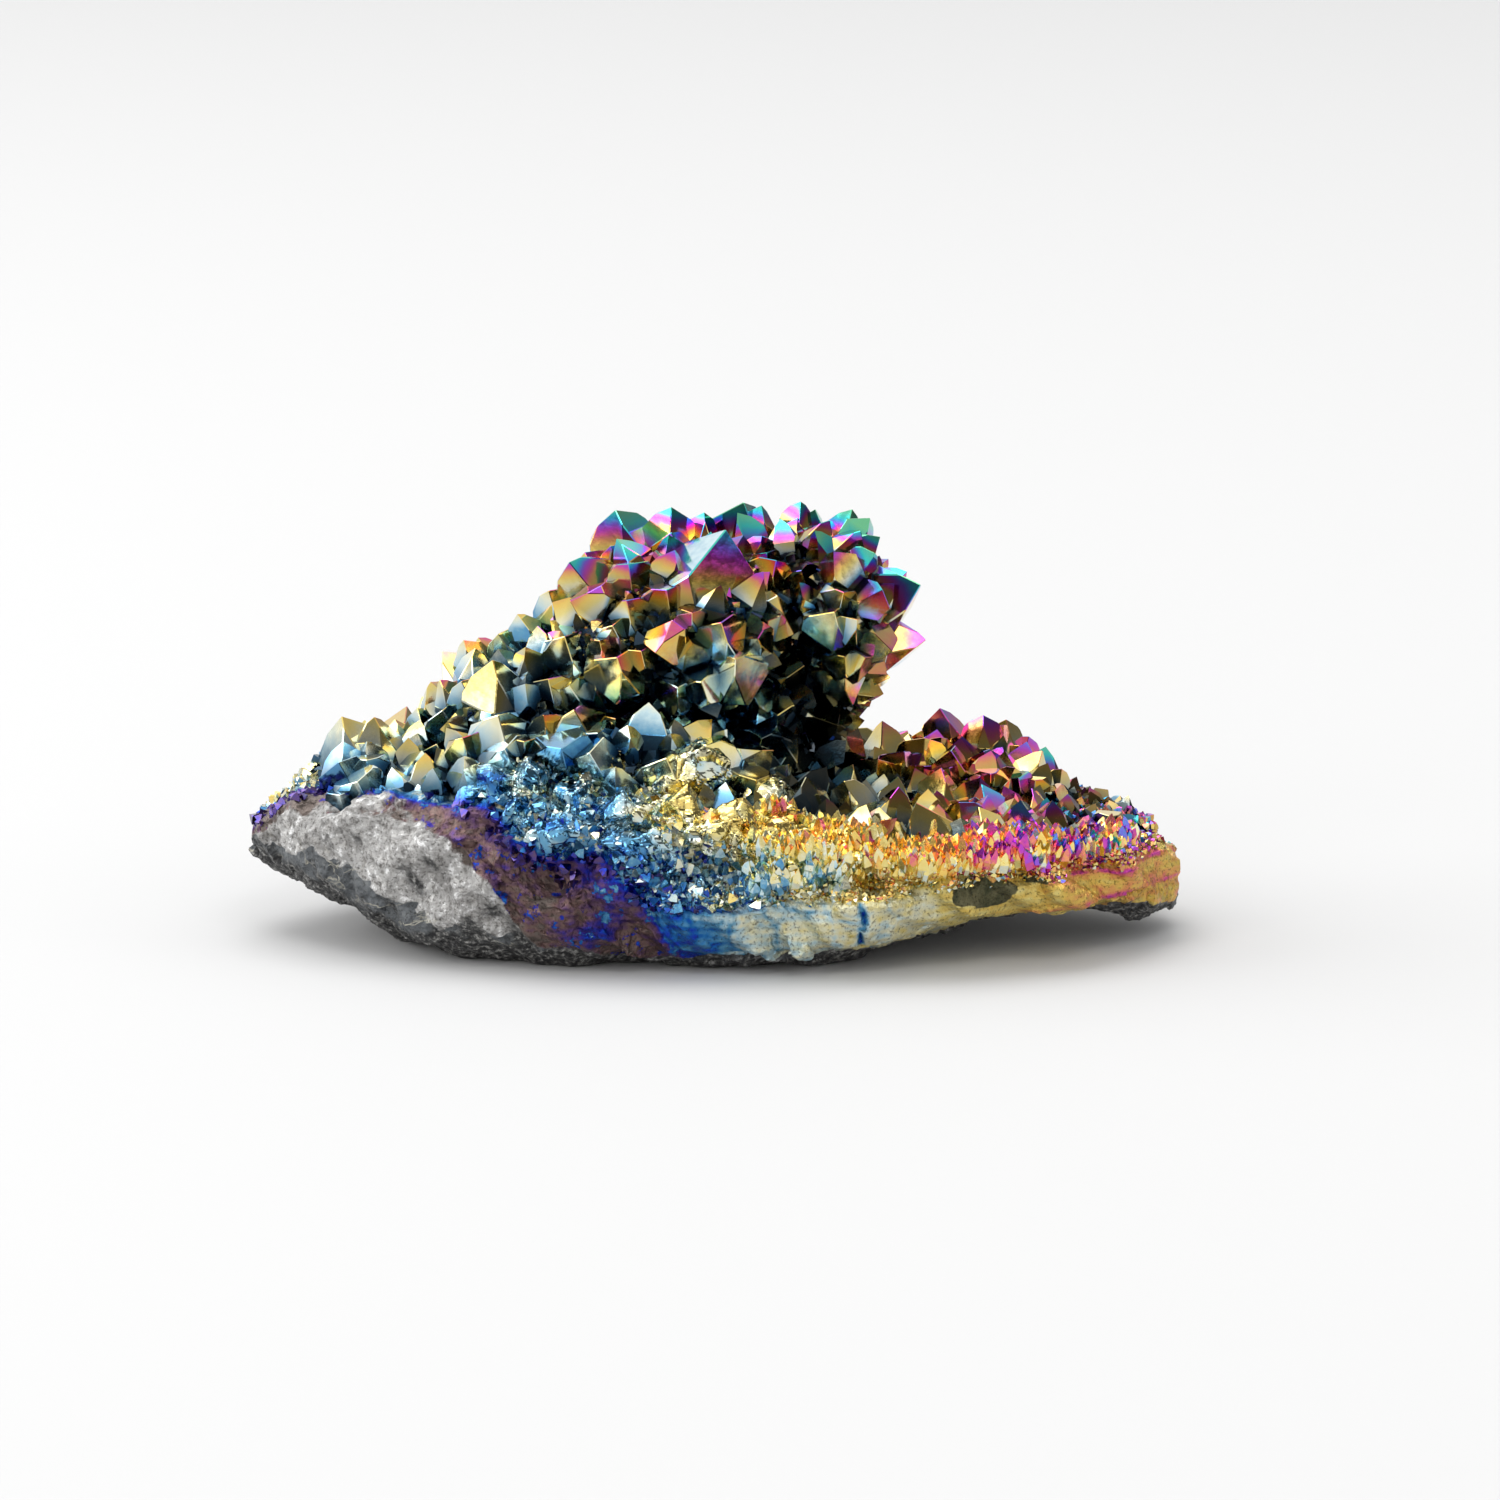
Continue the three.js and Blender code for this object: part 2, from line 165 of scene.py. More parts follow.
def among_points(x, y, z):
    """1 in the field where the points stand, and 0 on the broken face."""
    in_field = smooth(*FIELD_BEHIND, y - along(FRONT, x))
    return in_field * smooth(*FIELD_ABOVE, z - along(OVER, x))


def film_low(x, z):
    past_edge = x - EDGE_FROM + EDGE_SLOPE * np.minimum(z - EDGE_FOOT_Z, EDGE_HEIGHT)
    return np.interp(past_edge, FILM_PAST_EDGE, FILM_LOW)


def film_high(x, z):
    return np.interp(z, FILM_Z, FILM_HIGH) + np.interp(x, FILM_MORE_X, FILM_MORE)


def film_at(x, y, z):
    """Film on the front face's foot, on the broken part above it and among the points."""
    in_middle = smooth(-14, -7, x) * smooth(22, 12, x)
    broken = np.interp(x, FILM_ABOVE_X, FILM_ABOVE)
    broken = broken + FILM_BY_HEIGHT * np.clip(z - 18, -4, 6) * in_middle
    above_foot = smooth(-1.5, 3.5, z - np.interp(x, FOOT_X, FOOT_TOP))
    low = film_low(x, z) + (broken - film_low(x, z)) * above_foot
    return low + (film_high(x, z) - low) * among_points(x, y, z)


# The agate band along the foot of the face.
BAND_X = [-30, -12, 0, 10, 20, 35, 50, 65]
BAND_TOP = [9, 9.4, 9.6, 10.4, 11, 12.2, 12.6, 13.4]
BAND_BOTTOM = [3.5, 3.5, 3.6, 3.4, 4.4, 6.6, 8.6, 8.8]


def surface_net(field, low, high, step):
    """A quad mesh of the place where a field changes sign, one vertex for each cell on it."""
    axes = [np.arange(a, b + step, step) for a, b in zip(low, high)]
    values = field(*np.meshgrid(*axes, indexing="ij"))
    inside = values < 0
    size = np.array(inside.shape) - 1
    steps = list(itertools.product((0, 1), repeat=3))

    def shifted(array, move):
        return array[tuple(slice(m, m + n) for m, n in zip(move, size))]

    count = sum(shifted(inside, move).astype(int) for move in steps)
    cells = np.argwhere((count > 0) & (count < 8))
    ids = np.full(size, -1)
    ids[tuple(cells.T)] = np.arange(len(cells))
    total = np.zeros((len(cells), 3))
    crossings = np.zeros((len(cells), 1))
    for start, end in itertools.combinations(steps, 2):
        if sum(abs(a - b) for a, b in zip(start, end)) != 1:
            continue
        from_value = values[tuple((cells + start).T)]
        to_value = values[tuple((cells + end).T)]
        crossed = ((from_value < 0) != (to_value < 0))[:, None]
        share = (from_value / (from_value - to_value + TINY))[:, None]
        total += np.where(crossed, np.array(start) + share * (np.array(end) - start), 0)
        crossings += crossed
    places = np.array(low) + step * (cells + total / crossings)

    quads = []
    for axis in range(3):
        u, v = (axis + 1) % 3, (axis + 2) % 3
        near = np.delete(inside, -1, axis)
        edges = np.argwhere(near != np.delete(inside, 0, axis))
        edges = edges[(edges[:, u] > 0) & (edges[:, v] > 0)]
        edges = edges[(edges[:, u] < size[u]) & (edges[:, v] < size[v])]
        corners = []
        for back_u, back_v in ((1, 1), (0, 1), (0, 0), (1, 0)):
            cell = edges.copy()
            cell[:, u] -= back_u
            cell[:, v] -= back_v
            corners.append(ids[tuple(cell.T)])
        ring = np.stack(corners, axis=1)
        leaves = near[tuple(edges.T)]
        quads.append(np.where(leaves[:, None], ring, ring[:, ::-1]))
    return places, np.concatenate(quads)


CHIP_TILT = 1.6
CHIP_STEP = 0.5


def chip_place(place, size, seed):
    """A place among chips that are 1 across; each seed gives other chips."""
    return Vector(place) / size + Vector((seed, seed * 1.7, seed * 2.3))


def facets(places, size, seed):
    """Heights of a surface broken into flat chips of about this size, between -1 and 1."""
    heights = []
    for place in places:
        scaled = chip_place(place, size, seed)
        cell = noise.voronoi(scaled)[1][0]
        tilt = noise.cell_vector(cell * 37.1) - Vector((0.5, 0.5, 0.5))
        step = noise.cell(cell * 19.7) - 0.5
        heights.append(CHIP_TILT * tilt.dot(scaled - cell) + CHIP_STEP * step)
    return np.array(heights)


def clouds(places, size, seed, octaves=4):
    """Smooth random heights about this size across, between -1 and 1."""
    shift = Vector((seed, seed * 1.3, seed * 2.1))
    return np.array([noise.fractal(Vector(p) / size + shift, 1.0, 2.0, octaves) for p in places])


def bump_at(value, middle, half_width):
    return np.exp(-(((value - middle) / half_width) ** 2))


CRACK_X = 20.2
CRACK_HALF_WIDTH = 0.35
CRACK_DEPTH = 0.8

# Below this the rock never took on the film.
BARE_X = [-65, -59, -53, -48, -43, -40, -35.6, -30.6, -27.7, -23]
BARE_X += [-20, 0, 14, 22, 30, 40, 50, 60, 65]
BARE_TOP = [14, 20, 21.6, 22, 21.5, 20.8, 17.6, 12.6, 7.6, 3.8]
BARE_TOP += [3.2, 2.4, 2.8, 3.4, 4.6, 6.2, 7.0, 6.2, 5.6]

# Between dark volcanic rock below and massive quartz above.
SEAM_X = [-65, -57, -52, -47, -42, -36, -30, -20, 20, 65]
SEAM_Z = [12.6, 14.0, 14.0, 10.6, 7.4, 6, 5, 3, 2, 6]

# Where the film on the agate is a dull olive: middle and half-sizes, seen from the front.
OLIVE_PATCHES = [(36.8, 11.2, 4.8, 2.0), (44.6, 12.9, 2.2, 0.7)]

ROCK_STEP = 0.62
ROCK_LOW = (-66.5, -37, -1.5)
ROCK_HIGH = (66.5, 41, 57)
SUNK = 1.3  # how much deeper the rock lies between the points' roots

# How high each kind of unevenness stands.
SWELL_HEIGHT = 0.4
CHIP_HEIGHT = 0.7
SMALL_CHIP_HEIGHT = 0.35
GRIT_HEIGHT = 0.22
AGATE_SMOOTHNESS = 0.93  # how much less chipped the agate is than the rock
AGATE_HEIGHT = 0.45
AGATE_CHIP_HEIGHT = 0.3
LAYER_HEIGHT = 0.06
LAYER_TURNS = 2.6  # of the agate's fine layers, in radians for each millimetre up
RELIEF_RANGE = (-1.6, 1.1)

ROOT_SHADE = 0.9  # painted shade: how much darker the rock is between the points' roots
DEEP_FILM = 0.27  # on it there
# Painted shade in the crack: over the real groove, its film is thinned to a dark blue line.
CRACK_SHADE = 0.2
PINK_FOOT = 0.09  # how much thicker the film is along the agate's edges towards the right
PINK_TOP = 0.1

places, quads = surface_net(
    lambda x, y, z: np.maximum(crust(x, y, z), -z), ROCK_LOW, ROCK_HIGH, ROCK_STEP
)
normals = outward(places)
x, y, z = places.T
behind = y - along(FRONT, x)
swell = clouds(places, 9, 0)
patches = clouds(places, 4.3, 3, 3)
chips = facets(places, 6.0, 3.1)
small_chips = facets(places, 2.2, 8.4)
grit = clouds(places, 0.9, 5, 2)

# The agate band, between edges that wander, and the crack across it. Every border here and
# below is in millimetres, and the swell, the patches and the chips make it uneven.
past_edge = x - EDGE_FROM + EDGE_SLOPE * (z - EDGE_FOOT_Z) + 0.8 * small_chips
band_top = np.interp(x, BAND_X, BAND_TOP) + 0.35 * patches
band_bottom = np.interp(x, BAND_X, BAND_BOTTOM) + 0.5 * swell
in_band = smooth(0.1, 0.4, -normals[:, 1]) * smooth(0, 0.6, past_edge)
in_band *= smooth(-0.3, 0.2, z - band_bottom) * smooth(-0.2, 0.3, band_top - z)
crack = bump_at(x, CRACK_X + 0.25 * np.sin(0.9 * z), CRACK_HALF_WIDTH) * (z < 14)
among = among_points(x, y, z)

rough = 1 - AGATE_SMOOTHNESS * in_band
chipped = CHIP_HEIGHT * chips + SMALL_CHIP_HEIGHT * small_chips + GRIT_HEIGHT * grit
layers = LAYER_HEIGHT * np.sin(LAYER_TURNS * z + 1.5 * swell)
relief = SWELL_HEIGHT * swell + rough * chipped
relief += in_band * (AGATE_HEIGHT + layers + AGATE_CHIP_HEIGHT * chips - CRACK_DEPTH * crack)
relief = (np.clip(relief, *RELIEF_RANGE) - SUNK * among) * smooth(0.0, 1.2, z)
shaped = places + normals * relief[:, None]
shaped[:, 2] = np.maximum(shaped[:, 2], 0)

# Where the film begins, where quartz gives way to volcanic rock, and where that is veined.
fringe = 0.9 + 1.8 * smooth(-12, -24, x)
coat = z - np.interp(x, BARE_X, BARE_TOP) - 1.8 * swell - 0.8 * small_chips
coat = smooth(-1, 1, coat / fringe)
seam = z - np.interp(x, SEAM_X, SEAM_Z)
pale = smooth(-0.6, 0.9, seam + 1.6 * patches + 0.8 * small_chips)
pale *= 1 - 0.75 * smooth(-32, -22, x)
veined = bump_at(seam, -1.6, 2.6) * (x < -14)
rim = smooth(-0.4, -0.65, normals[:, 2] + 0.3 * patches)

# Painted shade between the points' roots, times a random darkening of the chips.
tone = (1 - ROOT_SHADE * among) * (1 - 0.25 * np.abs(small_chips) * rough)
film = film_at(x, y, z) * (1 - among) + DEEP_FILM * among
film += rough * (0.03 * small_chips + 0.05 * patches + 0.02 * swell)
film += 0.07 * swell * smooth(2, -2, past_edge)
film += in_band * (0.04 * chips - CRACK_SHADE * crack)
film += in_band * smooth(38, 50, x) * PINK_FOOT * bump_at(z, band_bottom, 0.8)
film += in_band * smooth(42, 48, x) * PINK_TOP * bump_at(z, band_top - 0.3, 0.4)
spotted = smooth(0.5, -1, past_edge) * (1 - among) * smooth(-0.3, 0.3, coat - 0.4)
olive = np.zeros(len(x))
for at_x, at_z, half_x, half_z in OLIVE_PATCHES:
    reach = np.hypot((x - at_x) / half_x, (z - at_z) / half_z) + 0.35 * patches
    olive = np.maximum(olive, smooth(1.15, 0.85, reach) * (y < 0))


def joined_mesh(name, vertices, faces, **values):
    """A mesh object from arrays in millimetres, with a number for each vertex or corner."""
    mesh = bpy.data.meshes.new(name)
    moved = (np.asarray(vertices) - (0, MIDDLE_Y, 0)) * MM
    mesh.from_pydata(moved.tolist(), [], [list(map(int, face)) for face in faces])
    for value_name, numbers in values.items():
        domain = "POINT" if len(numbers) == len(mesh.vertices) else "CORNER"
        layer = mesh.attributes.new(value_name, "FLOAT", domain)
        layer.data.foreach_set("value", np.asarray(numbers, dtype=np.float32))
    piece = bpy.data.objects.new(name, mesh)
    bpy.context.collection.objects.link(piece)
    return piece


host_rock = joined_mesh(
    "host_rock",
    shaped,
    quads,
    film=film,
    tone=tone,
    coat=coat,
    pale=pale,
    olive=olive,
    veined=veined,
    rim=rim,
    spotted=spotted,
    agate=in_band * smooth(34, 22, x),
)

# Colours of titanium oxide on quartz as the film thickens, in linear light.
FILM_COLOURS = [
    (0.00, (0.165, 0.135, 0.120)),
    (0.06, (0.180, 0.110, 0.100)),
    (0.12, (0.110, 0.055, 0.140)),
    (0.17, (0.030, 0.025, 0.300)),
    (0.21, (0.008, 0.045, 0.480)),
    (0.26, (0.012, 0.135, 0.400)),
    (0.32, (0.105, 0.310, 0.480)),
    (0.37, (0.480, 0.640, 0.680)),
    (0.42, (0.740, 0.740, 0.560)),
    (0.49, (0.740, 0.620, 0.220)),
    (0.56, (0.740, 0.510, 0.110)),
    (0.63, (0.700, 0.270, 0.110)),
    (0.67, (0.630, 0.090, 0.230)),
    (0.72, (0.440, 0.035, 0.440)),
    (0.77, (0.170, 0.090, 0.600)),
    (0.82, (0.030, 0.300, 0.600)),
    (0.88, (0.020, 0.460, 0.430)),
    (1.00, (0.110, 0.400, 0.200)),
]


def add(nodes, kind, inputs=(), **settings):
    """A shader node with its settings, and a value or a link for each of its inputs."""
    made = nodes.new("ShaderNode" + kind)
    for name, value in settings.items():
        setattr(made, name, value)
    for socket, value in dict(inputs).items():
        if isinstance(value, bpy.types.NodeSocket):
            made.id_data.links.new(value, made.inputs[socket])
        else:
            made.inputs[socket].default_value = value
    return made


def attribute(nodes, name):
    """A number that the mesh holds."""
    return add(nodes, "Attribute", attribute_name=name).outputs["Fac"]


def result_of(nodes, operation, *values):
    """A sum, a product or another result of arithmetic."""
    return add(nodes, "Math", enumerate(values), operation=operation).outputs[0]


def ranged(nodes, value, from_min, from_max, to_min=0.0, to_max=1.0):
    """A value brought from one range to another, and kept within it."""
    ends = {"From Min": from_min, "From Max": from_max, "To Min": to_min, "To Max": to_max}
    return add(nodes, "MapRange", {"Value": value, **ends}).outputs["Result"]


def ramp(nodes, value, stops):
    """A colour ramp through stops, each a place along it and a colour in linear light."""
    node = add(nodes, "ValToRGB", {"Fac": value})
    elements = node.color_ramp.elements
    while len(elements) < len(stops):
        elements.new(0.5)
    for element, (place, colour) in zip(elements, stops):
        element.position = place
        element.color = (*colour, 1.0)
    return node.outputs["Color"]


MOTTLE_RANGE = (0.3, 0.7)
FILM_ROUGHNESS = (0.05, 0.17)


def film_group():
    """Shader group: the film's colour and roughness from its thickness and a fine mottle."""
    group = bpy.data.node_groups.new("titanium_film", "ShaderNodeTree")
    face, nodes = group.interface, group.nodes
    sockets = (("Thickness", 0.5), ("Shade and Tone", 1.0), ("Mottle", 0.02), ("Mottle Scale", 900.0))
    for socket, value in sockets:
        face.new_socket(socket, in_out="INPUT", socket_type="NodeSocketFloat").default_value = value
    for socket, kind in (("Color", "Color"), ("Roughness", "Float"), ("Height", "Float")):
        face.new_socket(socket, in_out="OUTPUT", socket_type="NodeSocket" + kind)
    given = nodes.new("NodeGroupInput").outputs
    result = nodes.new("NodeGroupOutput").inputs
    where = add(nodes, "TexCoord").outputs["Object"]
    noise_inputs = {"Vector": where, "Scale": given["Mottle Scale"], "Detail": 5.0}
    mottle = add(nodes, "TexNoise", noise_inputs).outputs["Fac"]
    centred = result_of(nodes, "SUBTRACT", mottle, 0.5)
    varied = result_of(nodes, "MULTIPLY_ADD", centred, given["Mottle"], given["Thickness"])
    colour = ramp(nodes, varied, FILM_COLOURS)
    # The colour is scaled by the painted shade and light, and the random tone, that the mesh holds.
    shaded = add(nodes, "VectorMath", {0: colour, "Scale": given["Shade and Tone"]}, operation="SCALE")
    group.links.new(shaded.outputs["Vector"], result["Color"])
    group.links.new(ranged(nodes, mottle, *MOTTLE_RANGE, *FILM_ROUGHNESS), result["Roughness"])
    group.links.new(mottle, result["Height"])
    return group


titanium_film = film_group()

BEDDING_SLANT = math.radians(35)
BEDDING_STRETCH = (0.35, 1.0, 1.0)
BLACK = (0.0, 0.0, 0.0)
WHITE = (1.0, 1.0, 1.0)
ROCK_METALLIC = 0.85  # where the film covers it
ROCK_ROUGHNESS = (0.62, 0.3)  # bare, and under the film


def rock_material():
    """Grey volcanic rock and milky quartz, under the metallic film where there is any.

    The scales of its patterns are in steps for each metre: 1000 gives grains of 1 mm.
    """
    material = bpy.data.materials.new("coated_host_rock")
    material.use_nodes = True
    nodes, links = material.node_tree.nodes, material.node_tree.links
    surface = nodes["Principled BSDF"].inputs
    place = add(nodes, "TexCoord").outputs["Object"]
    slant = {"Vector": place, "Rotation": (0.0, BEDDING_SLANT, 0.0), "Scale": BEDDING_STRETCH}
    bedded = add(nodes, "Mapping", slant).outputs["Vector"]

    def grain(scale, detail=6.0, vector=place, distortion=0.0):
        """An uneven pattern from 0 to 1."""
        inputs = {"Vector": vector, "Scale": scale, "Detail": detail, "Roughness": 0.65}
        return add(nodes, "TexNoise", {**inputs, "Distortion": distortion}).outputs["Fac"]

    def mixed(share, first, second, blend="MIX"):
        inputs = {"Factor": share, "A": first, "B": second}
        return add(nodes, "Mix", inputs, data_type="RGBA", blend_type=blend).outputs["Result"]

    def broken_edge(name, scale, share, sharpness=0.07):
        """A soft-edged mask with its edge ragged and sharp."""
        ragged = result_of(nodes, "MULTIPLY_ADD", grain(scale, 8.0), share, attribute(nodes, name))
        middle = 0.5 + 0.5 * share
        return ranged(nodes, ragged, middle - sharpness, middle + sharpness)

    basalt_stops = (
        (0.32, (0.032, 0.036, 0.040)),
        (0.50, (0.082, 0.090, 0.097)),
        (0.64, (0.145, 0.155, 0.160)),
        (0.74, (0.380, 0.380, 0.360)),
    )
    basalt = ramp(nodes, grain(500.0, 8.0), basalt_stops)
    quartz_stops = (
        (0.37, (0.180, 0.172, 0.162)),
        (0.43, (0.370, 0.362, 0.350)),
        (0.57, (0.500, 0.495, 0.485)),
        (0.63, (0.860, 0.860, 0.860)),
    )
    quartz = ramp(nodes, grain(900.0, 14.0), quartz_stops)
    # It is milky and clear in turn, and its chips catch the light differently.
    milky = ramp(nodes, grain(170.0, 5.0, bedded), ((0.36, (0.42, 0.41, 0.40)), (0.56, WHITE)))
    chip = add(nodes, "TexVoronoi", {"Vector": place, "Scale": 1200.0}).outputs["Color"]
    chip_shade = ramp(nodes, chip, ((0.2, (0.62, 0.62, 0.62)), (0.8, WHITE), (0.93, (1.5, 1.5, 1.5))))
    quartz = mixed(0.7, quartz, chip_shade, "MULTIPLY")
    quartz = mixed(0.7, quartz, milky, "MULTIPLY")
    stone = mixed(broken_edge("pale", 420.0, 0.7), basalt, quartz)
    # Thin pale veins in the volcanic rock follow the contours of a slow noise.
    contour = ((0.485, BLACK), (0.50, WHITE), (0.515, BLACK))
    vein = ramp(nodes, grain(75.0, 4.0, bedded, 1.2), contour)
    ivory = ramp(nodes, grain(700.0), ((0.35, (0.240, 0.225, 0.180)), (0.6, (0.520, 0.500, 0.420))))
    stone = mixed(result_of(nodes, "MULTIPLY", vein, attribute(nodes, "veined")), stone, ivory)
    # The broken lower edge is peppered with bright and dark grains.
    pepper_stops = (
        (0.42, (0.008, 0.008, 0.009)),
        (0.54, (0.070, 0.070, 0.068)),
        (0.66, (0.300, 0.295, 0.280)),
    )
    stone = mixed(attribute(nodes, "rim"), stone, ramp(nodes, grain(1300.0, 3.0), pepper_stops))

    # The film is spotted and layered, and pale pillows of agate are parted by thin seams.
    spots = ranged(nodes, grain(430.0, 6.0), 0.57, 0.60, 0.0, 0.15)
    thickness = result_of(
        nodes, "MULTIPLY_ADD", spots, attribute(nodes, "spotted"), attribute(nodes, "film")
    )
    stirring = add(nodes, "TexNoise", {"Vector": place, "Scale": 160.0}).outputs["Color"]
    stir = {0: stirring, 1: (0.006, 0.006, 0.006), 2: place}
    stirred_place = add(nodes, "VectorMath", stir, operation="MULTIPLY_ADD").outputs["Vector"]
    pillow_inputs = {"Vector": stirred_place, "Scale": 150.0}
    pillow = add(nodes, "TexVoronoi", pillow_inputs, feature="DISTANCE_TO_EDGE").outputs["Distance"]
    seams = ranged(nodes, pillow, 0.0, 0.11, -0.055, 0.0)
    thickness = result_of(nodes, "MULTIPLY_ADD", seams, attribute(nodes, "agate"), thickness)
    wave = {"Vector": place, "Scale": 260.0, "Distortion": 5.0, "Detail": 3.0}
    layers = add(nodes, "TexWave", wave, bands_direction="Z").outputs["Fac"]
    thickness = result_of(nodes, "MULTIPLY_ADD", layers, 0.03, thickness)
    film_inputs = {"Thickness": thickness, "Shade and Tone": attribute(nodes, "tone")}
    film_inputs.update({"Mottle": 0.22, "Mottle Scale": 520.0})
    film = add(nodes, "Group", film_inputs, node_tree=titanium_film).outputs["Color"]
    dull = ramp(nodes, grain(300.0), ((0.35, (0.055, 0.060, 0.030)), (0.65, (0.180, 0.165, 0.090))))
    coated = mixed(broken_edge("olive", 500.0, 0.5), film, dull)

    covered = broken_edge("coat", 600.0, 0.8)
    fleck = ramp(nodes, grain(2200.0, 3.0), ((0.38, (0.32, 0.31, 0.30)), (0.45, WHITE)))
    finished = mixed(0.8, mixed(covered, stone, coated), fleck, "MULTIPLY")
    links.new(finished, surface["Base Color"])
    links.new(result_of(nodes, "MULTIPLY", covered, ROCK_METALLIC), surface["Metallic"])
    links.new(ranged(nodes, covered, 0.0, 1.0, *ROCK_ROUGHNESS), surface["Roughness"])
    relief = {"Strength": 0.8, "Distance": 0.0004, "Height": grain(1500.0, 12.0)}
    links.new(add(nodes, "Bump", relief).outputs["Normal"], surface["Normal"])
    return material


host_rock.data.materials.append(rock_material())
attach(host_rock, "root")
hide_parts(CLUSTER)

# ---------------------------------------------------------------------------
# Large quartz points. Six-sided crystals whose pointed ends stand out of the crust, each
# with three larger end faces and three smaller ones, plated with a film of titanium that
# settled most thickly on what faced up and to the right.
# ---------------------------------------------------------------------------

# Seen from the front and this far above level, `across` and `up` place each tip, counted
# from the middle of the slab's front foot.
VIEW_TILT = math.radians(11)
FRONT_FOOT = np.array([0.0, -30.0, 0.0])
VIEW_UP = np.array([0.0, math.sin(VIEW_TILT), math.cos(VIEW_TILT)])
VIEW_IN = np.array([0.0, math.cos(VIEW_TILT), -math.sin(VIEW_TILT)])

# Of each: across, up, width, lean to the right and to the front in degrees, turn about its
# own axis, and how much more film it took on.
LARGE_POINTS = [
    # crown of the lobe
    (1.3, 61.5, 12, 5, 40, 10),
    (-13.7, 64, 6, -12, 25, 20),
    (-6, 64.4, 6.5, 5, 20, 0),
    (4, 65.2, 7.5, 8, 28, 35),
    (12, 65.4, 3.6, 5, 20, 0),
    (16, 62.6, 4.6, 12, 30, 25),
    (20.3, 61, 4.6, 30, 35, 50),
    (19.2, 64.2, 3.6, 18, 10, 0),
    (21.5, 62.9, 4, 32, 18, 20),
    (23, 60.2, 3.6, 48, 20, 30),
    # right end of the lobe
    (28.5, 53.7, 7.5, 62, 35, 20),
    (29.3, 46, 5.5, 80, 20, 10),
    # front of the lobe
    (-20, 56.6, 6.5, -38, 35, 15),
    (-11.8, 56.3, 5, -10, 50, 0),
    (-6, 60.8, 5.5, -5, 35, 30),
    (-6.5, 52.7, 4.6, 0, 60, 10),
    (8.6, 56.9, 5.5, 18, 48, 0),
    (16.5, 49.6, 5, 15, 55, 30),
    (-12, 51.2, 5, -15, 50, 0),
    (1, 48.2, 5.5, 5, 55, 25),
    (18, 41, 5.5, 20, 75, 10),
    # shoulder, left of the lobe
    (-23, 52.8, 6, -25, 40, 0),
    (-30, 46.8, 5, -30, 40, 20),
    (-25.4, 48, 6, -25, 45, 40),
    (-20.7, 46.3, 6, -15, 50, 10),
    (-30.6, 43, 6.5, -8, 20, 25),
    (-35, 40.2, 4.6, -25, 40, 10),
    (-37.7, 36.2, 4.6, -20, 50, 30),
    (-41.6, 36.6, 5, -20, 25, 0),
    (-13.4, 43.3, 6.5, -10, 60, 15),
    (-20, 39.6, 5, -15, 55, 30),
    (-22.8, 40.5, 5, -20, 48, 0),
    # lower left, down to the broken face
    (-29.5, 35.4, 7, -5, 45, 15, 0.04),
    (-19.2, 36.2, 8, -5, 45, 35, 0.14),
    (-23.5, 35.4, 4.6, -15, 40, 0),
    (-16, 33, 5, 5, 60, 20, -0.1),
    (-28.6, 30.8, 5, -5, 60, 30),
    (-34.6, 32.3, 4.6, -15, 50, 10),
    (-52, 35.4, 7.5, -15, 10, 0),
    (-47.3, 35.2, 7, -5, 20, 30, -0.05),
    (-51.8, 29, 5, -20, 40, 20, -0.08),
    (-48, 29.3, 4.6, -10, 55, 0, -0.04),
    (-49, 26.3, 5, -10, 60, 25),
    (-20.8, 30.8, 6, -10, 68, 10, -0.12),
    (-17, 30.3, 6, -10, 60, 30),
    (-13.4, 28.4, 4.6, 0, 35, 0),
    # hollow below the lobe
    (3, 43.2, 7, 5, 68, 0, -0.1),
    (-1.7, 40, 4.6, 0, 75, 20, -0.07),
    (-5, 39.2, 4.6, 0, 75, 0, -0.1),
    (5.2, 38.6, 5, 10, 75, 30, -0.13),
    (6.6, 32.2, 4.6, 40, 75, 0, -0.13),
    (-1, 33.6, 4.6, 0, 75, 30, -0.12),
    (-1, 31.6, 8, 0, 55, 10, -0.08),
    (-6.5, 29.8, 7, 0, 50, 30, -0.06),
    (5.8, 26.5, 6, 30, 60, 10),
    # right half of the slab
    (17.9, 26.3, 6.5, -5, 35, 30, -0.06),
    (22.8, 29.4, 5, 10, 40, 0),
    (26.5, 30.5, 5, 15, 40, 20, 0.08),
    (29.3, 32.3, 5, 5, 35, 0),
    (20, 33.7, 5, -5, 40, 10, -0.12),
    (31.7, 36.6, 4.6, -10, 15, 30),
    (41, 35, 4.6, 5, 20, 20, -0.1),
    (37.6, 30.5, 4.6, 0, 40, 30),
    (43, 31.6, 5, 20, 40, 10),
    (33.7, 23.4, 4.6, -10, 40, 0),
]

